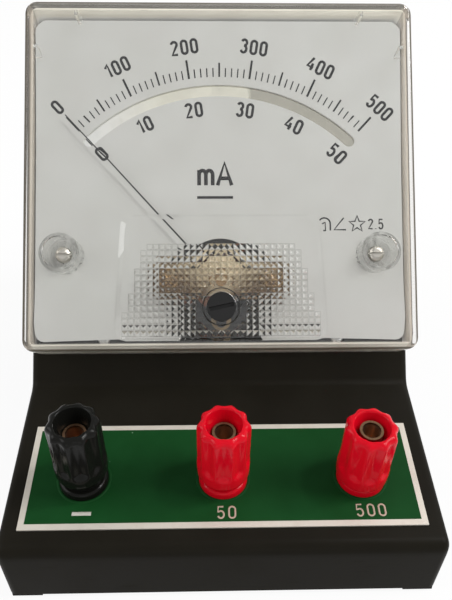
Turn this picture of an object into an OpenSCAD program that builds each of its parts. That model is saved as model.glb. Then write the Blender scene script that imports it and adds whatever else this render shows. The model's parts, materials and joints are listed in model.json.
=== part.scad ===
// School bench milliammeter with two ranges: a moulded console housing, a clear cover over
// the dial, a moving-coil movement behind it and three 4 mm binding posts on the front deck.
// X is to the right, Y is towards the back, Z is up, and the table is at Z = 0.

/* [Housing] */
// Width of the housing at the deck
body_w = 102; // [94:1:116]
// Depth of the housing from the front lip to the back wall
body_d = 130; // [124:1:150]
// Height of the front lip above the table
lip_h = 18; // [16:0.5:26]
// Length of the front deck, from the lip to the crease
deck_len = 47.6; // [44:0.2:56]
// Slope of the front deck, in degrees
deck_slope = 6; // [3:0.5:9]
// Angle of the dial face above the table, in degrees
face_tilt = 50; // [46:1:56]
// Depth of the top wall behind the dial face
top_depth = 16; // [14:1:24]
// Thickness of the housing's walls
wall = 2.5; // [2:0.1:3.2]
// Radius of the housing's side edges
edge_r = 2.0; // [1:0.1:2.6]
// Radius of the front lip
lip_r = 2.8; // [1:0.1:4]
// Radius of the hollow between the deck and the dial face
crease_r = 3.5; // [1:0.5:8]
// Inward slope of the skirt below the lip, in degrees
skirt_draft = 3.5; // [0:0.5:5]
// Height of the four moulded feet
foot_h = 1.5; // [1:0.1:3]
// Width of each moulded foot
foot_w = 7; // [5:0.5:10]

/* [Cover] */
// Height of the clear cover at its front, along the dial face
cover_h = 90; // [84:1:96]
// Clear room from the front of the dial to the front of the cover
cover_front = 9.9; // [9.5:0.1:14]
// Thickness of the cover's front pane
pane_t = 2.2; // [1.6:0.1:2.6]
// Thickness of the cover's side walls
cover_wall = 1.6; // [1.2:0.1:2.4]
// Outward slope of the cover's sides, in degrees
cover_draft = 4; // [2:0.5:5]
// Corner radius of the cover, seen from the front
cover_corner_r = 3; // [2:0.5:6]
// Distance of each cover screw from the side of the housing
screw_in = 9.8; // [9.4:0.2:14]
// Height of the cover screws above the pointer's axis
screw_v = 7.2; // [4:0.2:12]
// Outer radius of the wells that hold the cover screws
well_r = 5.1; // [4.6:0.1:6]
// Size of one pyramid of the patterned window
prism_pitch = 1.56; // [1.3:0.02:2.4]
// Height of the pyramids
prism_h = 0.6; // [0.2:0.02:0.7]

/* [Dial] */
// Gap between the edge of the dial plate and the cover's walls
dial_gap = 0.4; // [0.2:0.1:1.5]
// Thickness of the dial plate
dial_t = 0.8; // [0.5:0.1:1.2]
// Height of the dial's face above the housing's face
dial_lift = 4.5; // [4:0.1:7]
// Radius of the inner end of the scale marks
scale_r = 55.1; // [50:0.1:57]
// Sweep of the scale, in degrees
scale_sweep = 84.8; // [76:0.4:92]
// Number of divisions of the scale
divisions = 50; // [30:10:100]
// Middle radius of the mirror's slot
mirror_r = 51.4; // [46:0.1:52]
// Width of the mirror's slot
mirror_w = 3.1; // [2:0.1:4]

/* [Movement] */
// Radius of the soft iron core
core_r = 6; // [5:0.1:6.4]
// Width of the air gap between the core and the pole pieces
air_gap = 2.5; // [2.3:0.1:3]
// Length of the core
core_len = 11; // [9:0.5:12]
// Length of the pointer, from its axis to its tip
pointer_len = 60.4; // [56:0.2:62]
// Distance from the pointer's axis to the zero adjuster's axis
adjuster_drop = 6.9; // [6.6:0.1:8]
// Radius of the zero adjuster's head
adjuster_r = 3.7; // [3:0.1:4]
// Throw of the zero adjuster's pin
adjuster_throw = 3.9; // [3:0.1:4.2]

/* [Binding posts] */
// Distance between neighbouring posts
post_pitch = 33; // [28:0.5:36]
// Distance of the posts from the front lip, along the deck
post_s = 18; // [16:0.5:22]
// Radius of the socket for a 4 mm plug
socket_r = 2.1; // [2.05:0.01:2.2]
// Depth of the socket
socket_depth = 14; // [10:0.5:15]
// Outer radius of the threaded stud
stud_r = 2.65; // [2.5:0.05:2.9]
// Radius of the knobs
knob_r = 6.2; // [5.8:0.1:7]
// Length of the knobs
knob_len = 17.5; // [16:0.5:22]
// Number of finger grooves on each knob
grooves = 10; // [6:1:14]
// How far each knob is unscrewed at rest: minus, 50 and 500 mA
knob_lifts = [2.9, 1.6, 0];

/* [Label] */
// Bare margin of the deck on each side of the label plate
label_margin = 4.25; // [3.75:0.25:8]
// Depth of the label plate along the deck
label_d = 28.5; // [24:0.5:34]
// Thickness of the label plate
label_t = 0.5; // [0.3:0.1:1]
// Distance of the label plate from the front lip
label_s = 5.15; // [4:0.05:8]
// Width of the bare border round the label's print
label_border = 1.45; // [0.8:0.05:3]

/* [Hidden] */

$fn = 48;
// A cut runs past the face it leaves by this much
over = 1;
// Thickness of a layer of print
print_t = 0.04;
// Gap between flat pieces of which one moves
seat_gap = 0.1;
// Gap all round a shaft that turns in a bore
running_gap = 0.06;
// Gap all round a fastener or a spigot in its hole
fit_gap = 0.1;

/* ---------- curves and lofts ---------- */

function unit(v) = v / norm(v);

function cross2(a, b) = a.x * b.y - a.y * b.x;

// Corner q of the outline p-q-s, moved inwards by d; the outline runs anticlockwise
function inset_corner(p, q, s, d) =
    let (u = unit(q - p), v = unit(s - q), n1 = [-u.y, u.x], n2 = [-v.y, v.x])
    q + d * (n1 + n2) / (1 + n1 * n2);

// Arc of radius r that rounds corner q, in n steps
function corner_arc(p, q, s, r, n) =
    let (
        u = unit(p - q), v = unit(s - q), half = acos(u * v) / 2,
        t = r / tan(half), c = q + unit(u + v) * r / sin(half),
        a = q + u * t - c, b = q + v * t - c,
        start = atan2(a.y, a.x), turn = ((atan2(b.y, b.x) - start + 540) % 360) - 180
    )
    [for (i = [0:n]) c + r * [cos(start + turn * i / n), sin(start + turn * i / n)]];

// Point q inside the straight side p-s, moved level with itself until it is d inwards
function inset_level(p, q, s, d) = let (u = unit(s - p)) q - [d / u.y, 0];

// Outline with corners [y, z, radius, steps], moved inwards by d.
// No steps is a sharp corner, and -1 is a point inside a straight side, which keeps its height.
function rounded_outline(corners, d) =
    let (
        n = len(corners),
        pts = [for (c = corners) [c[0], c[1]]],
        moved = [for (i = [0:n - 1])
            let (p = pts[(i + n - 1) % n], q = pts[i], s = pts[(i + 1) % n])
            corners[i][3] < 0 ? inset_level(p, q, s, d) : inset_corner(p, q, s, d)]
    )
    [for (i = [0:n - 1])
        let (
            p = pts[(i + n - 1) % n], q = pts[i], s = pts[(i + 1) % n],
            hollow = cross2(q - p, s - q) < 0,
            r = max(0.3, corners[i][2] + (hollow ? d : -d)),
            arc = corners[i][3] <= 0 ? [moved[i]]
                : corner_arc(moved[(i + n - 1) % n], moved[i], moved[(i + 1) % n], r, corners[i][3])
        )
        each arc];

// Closed solid through rings of points, each ring with as many points as the others
module skin(rings) {
    n = len(rings[0]);
    last = len(rings) - 1;
    sides = [for (j = [0:last - 1], i = [0:n - 1])
        let (k = (i + 1) % n)
        each [[j * n + i, (j + 1) * n + i, (j + 1) * n + k], [j * n + i, (j + 1) * n + k, j * n + k]]];
    polyhedron([for (ring = rings) each ring],
        concat([[for (i = [0:n - 1]) i]], sides, [[for (i = [n - 1:-1:0]) last * n + i]]), convexity = 8);
}

// Rectangle with round corners as points: half width, lowest and highest v, radius
function round_rect(half_w, low, high, r, steps = 5) =
    rounded_outline([[half_w, low, r, steps], [half_w, high, r, steps],
        [-half_w, high, r, steps], [-half_w, low, r, steps]], 0);

function at_w(points, w) = [for (p = points) [p.x, p.y, w]];

/* ---------- the two working planes ---------- */

function deck_point(s, h) = [
    -body_d / 2 + s * cos(deck_slope) - h * sin(deck_slope),
    lip_h + s * sin(deck_slope) + h * cos(deck_slope)
];

crease = deck_point(deck_len, 0);
face_up = [cos(face_tilt), sin(face_tilt)];
face_out = [-sin(face_tilt), cos(face_tilt)];

// Room between the crease and the bottom of the cover, along the face
neck_len = 9.3;
// Distance of the pointer's axis above the bottom of the cover
axis_up = 17.9;
pivot = crease + (neck_len + axis_up) * face_up + dial_lift * face_out;

// The cover grows towards its back by its draft
cover_depth = cover_front + dial_lift;
cover_grow = cover_depth * tan(cover_draft);
cover_w = body_w - 2 * cover_grow;
dial_w = cover_w + 2 * (cover_front * tan(cover_draft) - cover_wall - dial_gap);
screw_x = body_w / 2 - screw_in;
cover_low = -axis_up;
cover_high = cover_h - axis_up;
cover_back = -dial_lift;
pane_back = cover_front - pane_t;
face_len = neck_len + cover_h + cover_grow;

// Deck frame: X right, Y back along the deck from the lip, Z out of the deck
module on_deck() {
    translate([0, -body_d / 2, lip_h])
        rotate([deck_slope, 0, 0])
            children();
}

// Face frame: X right, Y up the dial, Z out of the dial, from the pointer's axis on the dial
module on_face() {
    translate([0, pivot.x, pivot.y])
        rotate([face_tilt, 0, 0])
            children();
}

module mirror_pair() {
    children();
    mirror([1, 0, 0])
        children();
}

/* ---------- housing ---------- */

// Below this height the skirt slopes inwards
split_h = lip_h - lip_r - 1;
back_top = crease + face_len * face_up - top_depth * face_out;
// Depth below the table to which the housing's forms run before they are cut off
below = 4;

function back_y(z) = body_d / 2 + (z - foot_h) * (back_top.x - body_d / 2) / (back_top.y - foot_h);

// Side outline of the housing, anticlockwise as [y, z, radius, steps]
side_corners = [
    [-body_d / 2, -below, 0, 0],
    [body_d / 2, -below, 0, 0],
    [body_d / 2, foot_h, 0, 0],
    [back_y(split_h), split_h, 0, -1],
    [back_top.x, back_top.y, 6, 6],
    [crease.x + face_len * face_up.x, crease.y + face_len * face_up.y, 0.6, 3],
    [crease.x, crease.y, crease_r, 5],
    [-body_d / 2, lip_h, lip_r, 6],
    [-body_d / 2, split_h, 0, -1]
];

// Half width at height z, less an inset
function half_width(z, inset) = body_w / 2 - inset - max(0, split_h - z) * tan(skirt_draft);

// One ring of the housing's loft: t from 0 at the flat side to 90 where the round edge ends
function side_ring(inset, r, t, side) =
    [for (p = rounded_outline(side_corners, inset + r * (1 - sin(t))))
        [side * (half_width(p.y, inset) - r * (1 - cos(t))), p.x, p.y]];

// Console form with round side edges, inset all round
module console(inset, r, steps) {
    angles = [for (i = [0:steps]) 90 * i / steps];
    rings = concat([for (t = angles) side_ring(inset, r, t, -1)],
        [for (i = [steps:-1:0]) side_ring(inset, r, angles[i], 1)]);
    n = len(rings[0]);
    last = len(rings) - 1;
    sides = [for (j = [0:last - 1], i = [0:n - 1])
        let (k = (i + 1) % n)
        each [[j * n + i, (j + 1) * n + k, j * n + k], [j * n + i, (j + 1) * n + i, (j + 1) * n + k]]];
    // The end faces fold where the skirt begins: one flat polygon below, and a fan above
    caps = concat([[n - 1, 0, 1, 2, 3]], [for (i = [4:n - 2]) [3, i, i + 1]]);
    polyhedron([for (ring = rings) each ring], concat(
        caps, sides, [for (c = caps) [for (i = [len(c) - 1:-1:0]) last * n + c[i]]]), convexity = 8);
}

// Opening in the face for the movement
window_half = 29;
window_low = -14;
window_high = 41;
// Pillars that carry the dial and take the cover screws
pillar_r = 4;
pillar_low = cover_back - wall - 5;
// Radius of the cover screws and of their holes in the pillars
cover_screw_r = 1.45;
plate_screw_r = 0.95;
// Length of the movement's screws in the housing's face
plate_screw_len = 2;
// Bosses in the base that take the bottom screws
boss_r = 3.4;
boss_h = 9.5;
boss_web = 5.5;
boss_x = body_w / 2 - wall - boss_r - 1.2;
boss_ys = [-body_d / 2 + wall + 6, body_d / 2 - wall - 8];
bottom_t = 2;
bottom_screw_r = 1.45;
bottom_screw_len = 8;
bottom_head_r = 2.8;
// Depth to which the bottom's screw heads are sunk in it
bottom_sink = 1.1;
// Shunt board: thickness, height of its underside, size and the places of its two screws
board_t = 1.6;
board_z = 8;
board_w = 2 * post_pitch;
board_d = 20;
board_front = -body_d / 2 + 35;
board_x = board_w / 2 - 6;
board_y = board_front + 7;
board_screw_len = 6;
spigot_r = 4;
cover_screw_len = 9.4;
cover_head_r = 2.1;
cover_head_h = 2.1;
post_xs = [-post_pitch, 0, post_pitch];

module housing() {
    color([0.07, 0.07, 0.07])
        difference() {
            union() {
                difference() {
                    intersection() {
                        console(0, edge_r, 5);
                        translate([-body_w, -body_d, foot_h])
                            cube([2 * body_w, 2 * body_d, 4 * lip_h + face_len]);
                    }
                    console(wall, 1, 2);
                }
                housing_feet();
                housing_bosses();
                on_face()
                    mirror_pair()
                        translate([screw_x, screw_v, pillar_low])
                            cylinder(r = pillar_r, h = -dial_t - pillar_low);
            }
            on_face()
                translate([0, 0, cover_back - wall - over])
                    linear_extrude(wall + 2 * over)
                        polygon(round_rect(window_half, window_low, window_high, 4));
            on_face()
                mirror_pair()
                    translate([screw_x, screw_v, pillar_low + 1])
                        cylinder(r = cover_screw_r + fit_gap / 2, h = over - dial_t - pillar_low);
            on_deck()
                for (x = post_xs)
                    translate([x, post_s, -wall - over])
                        cylinder(r = spigot_r + fit_gap, h = wall + 2 * over);
            on_face()
                at_plate_corners()
                    translate([0, 0, cover_back - plate_screw_len])
                        cylinder(r = plate_screw_r + fit_gap / 2, h = plate_screw_len + over);
            for (x = [-boss_x, boss_x], y = boss_ys)
                translate([x, y, foot_h - over])
                    cylinder(r = bottom_screw_r + fit_gap / 2, h = bottom_screw_len + 1.5 + over);
            for (x = [-board_x, board_x])
                translate([x, board_y, board_z])
                    cylinder(r = bottom_screw_r + fit_gap / 2, h = board_screw_len + 1);
        }
}

// Four pads moulded on the rim at the corners
module housing_feet() {
    rim = wall * 0.9;
    half = half_width(foot_h, 0);
    for (x = [-1, 1], y = [-1, 1])
        translate([x * (half - 0.6), y * (body_d / 2 - 0.6), 0])
            difference() {
                translate([x > 0 ? -foot_w : 0, y > 0 ? -foot_w : 0, 0])
                    cube([foot_w, foot_w, foot_h]);
                translate([x > 0 ? -foot_w - over : rim, y > 0 ? -foot_w - over : rim, -over])
                    cube([foot_w + over - rim, foot_w + over - rim, foot_h + 2 * over]);
            }
}

module housing_bosses() {
    for (x = [-1, 1], y = boss_ys)
        translate([x * boss_x, y, foot_h + bottom_t]) {
            cylinder(r = boss_r, h = boss_h);
            // Web between the boss and the side wall
            translate([x > 0 ? 0 : -boss_web, -1, 0])
                cube([boss_web, 2, boss_h]);
        }
    // The board's bosses run up into the deck, which the console's form trims
    intersection() {
        for (x = [-board_x, board_x])
            translate([x, board_y, board_z + board_t])
                cylinder(r = boss_r, h = 20);
        console(wall / 2, 1, 2);
    }
}

bottom_gap = 0.25;

module bottom_plate() {
    half = half_width(foot_h, wall) - bottom_gap;
    front = -body_d / 2 + wall + bottom_gap;
    back = body_d / 2 - wall - 3 * bottom_gap;
    color([0.1, 0.1, 0.1])
        difference() {
            translate([0, 0, foot_h])
                linear_extrude(bottom_t)
                    polygon(round_rect(half, front, back, 1.2, 3));
            for (x = [-boss_x, boss_x], y = boss_ys)
                translate([x, y, foot_h - over]) {
                    cylinder(r = bottom_screw_r + fit_gap, h = bottom_t + 2 * over);
                    cylinder(r = bottom_head_r + 0.3, h = over + bottom_sink);
                }
        }
}

// Pan-head screw that points down -Z from its seat at the origin
module pan_screw(r, head_r, head_h, len) {
    difference() {
        rotate_extrude()
            polygon([[0, -len], [r * 0.6, -len], [r, -len + r], [r, 0], [head_r, 0],
                [head_r, head_h * 0.35], [head_r * 0.88, head_h * 0.75],
                [head_r * 0.6, head_h * 0.95], [0, head_h]]);
        translate([-head_r, -head_r * 0.13, head_h * 0.5])
            cube([2 * head_r, head_r * 0.26, head_h]);
    }
}

module bottom_screws() {
    color([0.6, 0.6, 0.62])
        for (x = [-boss_x, boss_x], y = boss_ys)
            translate([x, y, foot_h + bottom_sink])
                rotate([180, 0, 0])
                    pan_screw(bottom_screw_r, bottom_head_r, bottom_sink - 0.1, bottom_screw_len);
}

/* ---------- label ---------- */

label_w = body_w - 2 * label_margin;

module label_holes(h) {
    for (x = post_xs)
        translate([x, post_s, -over])
            cylinder(r = spigot_r + fit_gap, h = h + 2 * over);
}

module label_plate() {
    color([0.75, 0.73, 0.68])
        on_deck()
            difference() {
                translate([-label_w / 2, label_s, 0])
                    cube([label_w, label_d, label_t]);
                label_holes(label_t);
            }
}

module label_print() {
    color([0.07, 0.27, 0.11])
        on_deck()
            difference() {
                translate([-label_w / 2 + label_border, label_s + label_border, label_t])
                    cube([label_w - 2 * label_border, label_d - 2 * label_border, print_t]);
                for (x = post_xs)
                    translate([x, post_s, label_t - over])
                        cylinder(r = collar_r + fit_gap, h = 2 * over);
            }
}

/* ---------- clear cover ---------- */

cover_edge_r = 1;
// Raised window: height, reach and half widths, and how far its edges slope in
window_boss_t = 1.1;
window_slope = 1.4;
window_boss_low = -15.4;
window_boss_high = 16.6;
window_boss_half_low = 27.2;
window_boss_half_high = 25.4;
well_floor = 2;
ring_r = 4.85;
// Height of the adjuster and its smooth ring above the window
ring_lift = 0.4;
ring_bevel = 0.3;

// Ring of the cover at height w, moved inwards by inset
function cover_ring(w, inset) =
    let (g = (cover_front - w) * tan(cover_draft) - inset)
    at_w(round_rect(cover_w / 2 + g, cover_low - g, cover_high + g, max(0.5, cover_corner_r - inset)), w);

module cover_outer() {
    edge = [for (i = [0:3]) let (t = 30 * i)
        cover_ring(cover_front - cover_edge_r + cover_edge_r * sin(t), cover_edge_r * (1 - cos(t)))];
    skin(concat([cover_ring(cover_back, 0)], edge));
}

module cover_inner() {
    skin([cover_ring(cover_back - over, cover_wall), cover_ring(pane_back, cover_wall)]);
}

function trapezoid(half_low, half_high, low, high, r) =
    rounded_outline([[half_low, low, r, 3], [half_high, high, r, 3],
        [-half_high, high, r, 3], [-half_low, low, r, 3]], 0);

// Raised pane with bevelled edges in front of the movement
module window_boss() {
    skin([
        at_w(trapezoid(window_boss_half_low, window_boss_half_high,
            window_boss_low, window_boss_high, 3), cover_front - 0.5),
        at_w(trapezoid(window_boss_half_low, window_boss_half_high,
            window_boss_low, window_boss_high, 3), cover_front),
        at_w(trapezoid(window_boss_half_low - window_slope, window_boss_half_high - window_slope,
            window_boss_low + window_slope / 2, window_boss_high - window_slope, 2.5),
            cover_front + window_boss_t)
    ]);
}

// The pyramids' field: it narrows upwards, and leaves a smooth ring round the adjuster
prism_low = window_boss_low + 1;
prism_high = 9.8;
prism_half_low = 26.4;
prism_half_high = 19.8;
prism_rows = floor((prism_high - prism_low) / prism_pitch);

function prism_columns(row) = 2 * floor(
    (prism_half_low - (prism_half_low - prism_half_high) * row / prism_rows) / prism_pitch);

module prisms() {
    base = cover_front + window_boss_t;
    for (row = [0:prism_rows - 1]) {
        columns = prism_columns(row);
        for (column = [0:columns - 1]) {
            u = (column - columns / 2 + 0.5) * prism_pitch;
            v = prism_low + (row + 0.5) * prism_pitch;
            if (norm([u, v + adjuster_drop]) > ring_r + prism_pitch * 0.72)
                translate([u, v, base])
                    rotate([0, 0, 45])
                        cylinder(r1 = prism_pitch / sqrt(2), r2 = 0, h = prism_h, $fn = 4);
        }
    }
}

head_top = cover_front + window_boss_t + ring_lift;
ring_len = head_top - pane_back + 1;

module clear_cover() {
    color([0.85, 0.87, 0.86, 0.35])
        on_face()
            difference() {
                union() {
                    difference() {
                        cover_outer();
                        cover_inner();
                    }
                    window_boss();
                    mirror_pair()
                        translate([screw_x, screw_v, 0])
                            cylinder(r = well_r, h = pane_back + 0.5);
                    translate([0, -adjuster_drop, pane_back - 1])
                        rotate_extrude()
                            polygon([[0, 0], [ring_r, 0], [ring_r, ring_len - ring_bevel],
                                [ring_r - ring_bevel, ring_len], [0, ring_len]]);
                    prisms();
                }
                mirror_pair()
                    translate([screw_x, screw_v, well_floor])
                        cylinder(r = well_r - 1, h = cover_front);
                mirror_pair()
                    translate([screw_x, screw_v, -over])
                        cylinder(r = cover_screw_r + fit_gap, h = well_floor + 2 * over);
                translate([0, -adjuster_drop, pane_back - 2])
                    cylinder(r = adjuster_neck_r + running_gap, h = pane_t + 4);
                translate([0, -adjuster_drop, head_top - adjuster_head_t])
                    cylinder(r = adjuster_r + running_gap, h = adjuster_head_t + over);
            }
}

module cover_screws() {
    color([0.72, 0.72, 0.7])
        on_face()
            mirror_pair()
                translate([screw_x, screw_v, well_floor])
                    pan_screw(cover_screw_r, cover_head_r, cover_head_h, cover_screw_len);
}

/* ---------- zero adjuster ---------- */

adjuster_neck_r = 2.4;
adjuster_head_t = 1.9;
crank_r = 3.1;
pin_r = 0.95;
// Width and depth of the slot in the adjuster's head, and its turn at rest
slot_w = 0.9;
slot_depth = 0.8;
slot_turn = 12;
lever_w = 3.0;
lever_t = 0.4;

// Head in the cover's ring, neck through it, and a crank that carries the pin behind it
module zero_adjuster() {
    crank_top = pane_back - 1 - seat_gap;
    crank_low = bridge_w + bridge_t + 0.3;
    color([0.06, 0.06, 0.06])
        on_face()
            translate([0, -adjuster_drop, 0])
                difference() {
                    union() {
                        translate([0, 0, head_top - adjuster_head_t + seat_gap])
                            cylinder(r = adjuster_r, h = adjuster_head_t - seat_gap);
                        translate([0, 0, crank_low])
                            cylinder(r = adjuster_neck_r, h = head_top - 0.5 - crank_low);
                        translate([0, 0, crank_low])
                            cylinder(r = crank_r, h = crank_top - crank_low);
                        translate([0, -adjuster_throw, crank_low])
                            cylinder(r = pin_r + 0.35, h = crank_top - crank_low);
                        translate([-pin_r - 0.35, -adjuster_throw, crank_low])
                            cube([2 * pin_r + 0.7, adjuster_throw, crank_top - crank_low]);
                        translate([0, -adjuster_throw, lever_w - 0.5])
                            cylinder(r = pin_r, h = crank_low - lever_w + 1);
                    }
                    rotate([0, 0, slot_turn])
                        translate([-adjuster_r * 0.85, -slot_w / 2, head_top - slot_depth])
                            cube([adjuster_r * 1.7, slot_w, slot_depth + over]);
                }
}

/* ---------- dial ---------- */

dial_low = -15;
dial_high = cover_high - 1.9;
notch_half = 10.6;
notch_top = 11.6;
bridge_x = 13.5;
bridge_v = 0.4;
bridge_pillar_r = 1.9;

// Sector of a ring with round ends, centred on the pointer's axis
module arc_slot(r, w, half_angle) {
    steps = 36;
    mid = [for (i = [0:steps]) 90 + half_angle - 2 * half_angle * i / steps];
    polygon(concat(
        [for (a = mid) (r + w / 2) * [cos(a), sin(a)]],
        [for (i = [1:5]) let (a = mid[steps]) r * [cos(a), sin(a)]
            + w / 2 * [cos(a - 30 * i), sin(a - 30 * i)]],
        [for (i = [steps:-1:0]) (r - w / 2) * [cos(mid[i]), sin(mid[i])]],
        [for (i = [1:5]) let (a = mid[0]) r * [cos(a), sin(a)]
            + w / 2 * [cos(a + 180 - 30 * i), sin(a + 180 - 30 * i)]]));
}

module dial_plate() {
    color([0.86, 0.87, 0.87])
        on_face()
            translate([0, 0, -dial_t])
                difference() {
                    linear_extrude(dial_t)
                        difference() {
                            polygon(round_rect(dial_w / 2, dial_low, dial_high, 2.2, 4));
                            arc_slot(mirror_r, mirror_w, scale_sweep / 2);
                        }
                    translate([0, notch_top - notch_half, -over])
                        cylinder(r = notch_half, h = dial_t + 2 * over, $fn = 96);
                    translate([-notch_half, dial_low - over, -over])
                        cube([2 * notch_half, notch_top - notch_half - dial_low + over, dial_t + 2 * over]);
                    mirror_pair()
                        translate([bridge_x, bridge_v, -over])
                            cylinder(r = bridge_pillar_r + fit_gap, h = dial_t + 2 * over);
                    mirror_pair()
                        translate([screw_x, screw_v, -over])
                            cylinder(r = cover_screw_r + fit_gap, h = dial_t + 2 * over);
                }
}

// Length and width of mark number i of the scale
function mark_len(i) = i % 10 == 0 ? 5.1 : i % 5 == 0 ? 3.8 : 2.4;

function mark_w(i) = i % 10 == 0 ? 0.56 : i % 5 == 0 ? 0.46 : 0.3;

// Line under the unit: left end, height above the axis, length and width
unit_line_x = -6.1;
unit_line_v = 22.3;
unit_line_len = 9.6;
unit_line_w = 0.7;

module scale_marks() {
    color([0.05, 0.05, 0.05])
        on_face() {
            for (i = [0:divisions])
                rotate([0, 0, scale_sweep / 2 - scale_sweep * i / divisions])
                    translate([-mark_w(i) / 2, scale_r, 0])
                        cube([mark_w(i), mark_len(i), print_t]);
            translate([unit_line_x, unit_line_v, 0])
                cube([unit_line_len, unit_line_w, print_t]);
        }
}

mirror_t = 1;
// The mirror's strip laps the dial by this much on each side of the slot
mirror_lap = 1.5;

module mirror_strip() {
    color([0.8, 0.82, 0.83])
        on_face()
            translate([0, 0, -dial_t - mirror_t])
                linear_extrude(mirror_t)
                    arc_slot(mirror_r, mirror_w + 2 * mirror_lap, scale_sweep / 2 + 0.5);
}

/* ---------- movement ---------- */

pole_r = core_r + air_gap;
pole_front = cover_back;
pole_len = core_len;
pole_back = pole_front - pole_len;
pole_half = 17;
pole_v = 13;
// Half the gap between the two poles' tips
pole_tip_gap = 3.5;
magnet_w = 9;
magnet_r = pole_half;
magnet_t = pole_len - 1;
magnet_v = pole_v;
plate_t = 2.2;
plate_half = 33;
plate_low = -16.6;
plate_high = 45;
coil_in = core_r + 0.4;
former_t = 0.4;
winding_t = 0.7;
coil_out = coil_in + former_t + winding_t;
coil_width = 4.6;
coil_front = pole_front + 1.9;
coil_back = pole_back - 2.1;
// Angle of the pointer at rest, on the scale's zero mark
rest_angle = scale_sweep / 2;

plate_head_r = 1.7;
plate_screw_x = plate_half - 2;
// The upper screws keep clear of the mirror's strip
plate_screw_reach = mirror_r - mirror_w / 2 - mirror_lap - plate_head_r - 0.4;
plate_screw_vs = [plate_low + 2, sqrt(pow(plate_screw_reach, 2) - pow(plate_screw_x, 2))];

module at_plate_corners() {
    mirror_pair()
        for (v = plate_screw_vs)
            translate([plate_screw_x, v, 0])
                children();
}

// Flat plate on the front of the housing's face, which carries the whole movement
module movement_plate() {
    color([0.08, 0.08, 0.08])
        on_face()
            translate([0, 0, cover_back])
                difference() {
                    linear_extrude(plate_t)
                        polygon(round_rect(plate_half, plate_low, plate_high, 3, 4));
                    translate([0, 0, -over])
                        cylinder(r = pole_r + 0.4, h = plate_t + 2 * over);
                    at_plate_corners()
                        translate([0, 0, -over])
                            cylinder(r = plate_screw_r + fit_gap / 2, h = plate_t + 2 * over);
                }
}

// The screws pass through the plate into the housing's face
module movement_screws() {
    color([0.62, 0.62, 0.6])
        on_face()
            at_plate_corners()
                translate([0, 0, cover_back + plate_t])
                    pan_screw(plate_screw_r, plate_head_r, 0.8, plate_t + plate_screw_len - 0.3);
}

module pole_piece() {
    translate([0, 0, pole_back])
        difference() {
            translate([0, -pole_v, 0])
                cube([pole_half, 2 * pole_v, pole_len]);
            translate([0, 0, -over])
                cylinder(r = pole_r, h = pole_len + 2 * over);
            translate([-over, -pole_v - over, -over])
                cube([over + pole_tip_gap, 2 * (pole_v + over), pole_len + 2 * over]);
        }
}

module pole_piece_left() {
    color([0.55, 0.55, 0.57])
        on_face()
            mirror([1, 0, 0])
                pole_piece();
}

module pole_piece_right() {
    color([0.55, 0.55, 0.57])
        on_face()
            pole_piece();
}

// Horseshoe magnet round the pole pieces
module magnet() {
    color([0.35, 0.36, 0.38])
        on_face()
            translate([0, 0, pole_back + 0.5])
                linear_extrude(magnet_t)
                    difference() {
                        union() {
                            translate([0, magnet_v])
                                circle(r = magnet_r + magnet_w, $fn = 72);
                            translate([-magnet_r - magnet_w, -pole_v])
                                square([2 * (magnet_r + magnet_w), magnet_v + pole_v]);
                        }
                        translate([0, magnet_v])
                            circle(r = magnet_r, $fn = 72);
                        translate([-magnet_r, -pole_v - over])
                            square([2 * magnet_r, magnet_v + pole_v + over]);
                    }
}

module iron_core() {
    color([0.5, 0.5, 0.52])
        on_face()
            translate([0, 0, pole_back + 0.8])
                cylinder(r = core_r, h = core_len - 0.8);
}

bracket_t = 0.8;

// Strip that holds the core between the poles, clear of the coil's swing
module core_bracket() {
    color([0.72, 0.55, 0.28])
        on_face()
            translate([0, 0, pole_back])
                union() {
                    translate([-1.5, -pole_v, 0])
                        cube([3, 2 * pole_v, bracket_t]);
                    for (v = [-pole_v, pole_v - 3])
                        translate([-pole_half + 3, v, -bracket_t])
                            cube([2 * pole_half - 6, 3, bracket_t]);
                }
}

module bracket_screws() {
    color([0.7, 0.6, 0.4])
        on_face()
            for (x = [-10, 10], v = [-pole_v + 1.5, pole_v - 1.5])
                translate([x, v, pole_back - bracket_t])
                    rotate([180, 0, 0])
                        cylinder(r = 1.3, h = 0.9);
}

bridge_t = 1.2;
bridge_w = 3.8;
bar_half = 16.6;
bar_low = -3.9;
bar_high = 4.4;
hump_r = 7.8;
jewel_r = 1.5;

module front_bridge() {
    color([0.78, 0.6, 0.32])
        on_face()
            translate([0, 0, bridge_w])
                difference() {
                    union() {
                        translate([-bar_half, bar_low, 0])
                            cube([2 * bar_half, bar_high - bar_low, bridge_t]);
                        cylinder(r = hump_r, h = bridge_t);
                    }
                    translate([0, -hump_r - bar_high, -over])
                        linear_extrude(bridge_t + 2 * over)
                            translate([-hump_r, 0])
                                square([2 * hump_r, hump_r + bar_high + bar_low]);
                    translate([0, 0, -over])
                        cylinder(r = jewel_r + fit_gap / 2, h = bridge_t + 2 * over);
                    mirror_pair()
                        translate([bridge_x, bridge_v, -over])
                            cylinder(r = 1, h = bridge_t + 2 * over);
                }
}

module bridge_pillars() {
    color([0.78, 0.6, 0.32])
        on_face()
            mirror_pair()
                translate([bridge_x, bridge_v, cover_back + plate_t])
                    difference() {
                        cylinder(r = bridge_pillar_r, h = bridge_w - cover_back - plate_t);
                        translate([0, 0, bridge_w - cover_back - plate_t - 4])
                            cylinder(r = 1, h = 5);
                    }
}

module bridge_screws() {
    color([0.8, 0.66, 0.4])
        on_face()
            mirror_pair()
                translate([bridge_x, bridge_v, bridge_w + bridge_t])
                    pan_screw(0.95, 1.9, 1, 4);
}

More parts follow.
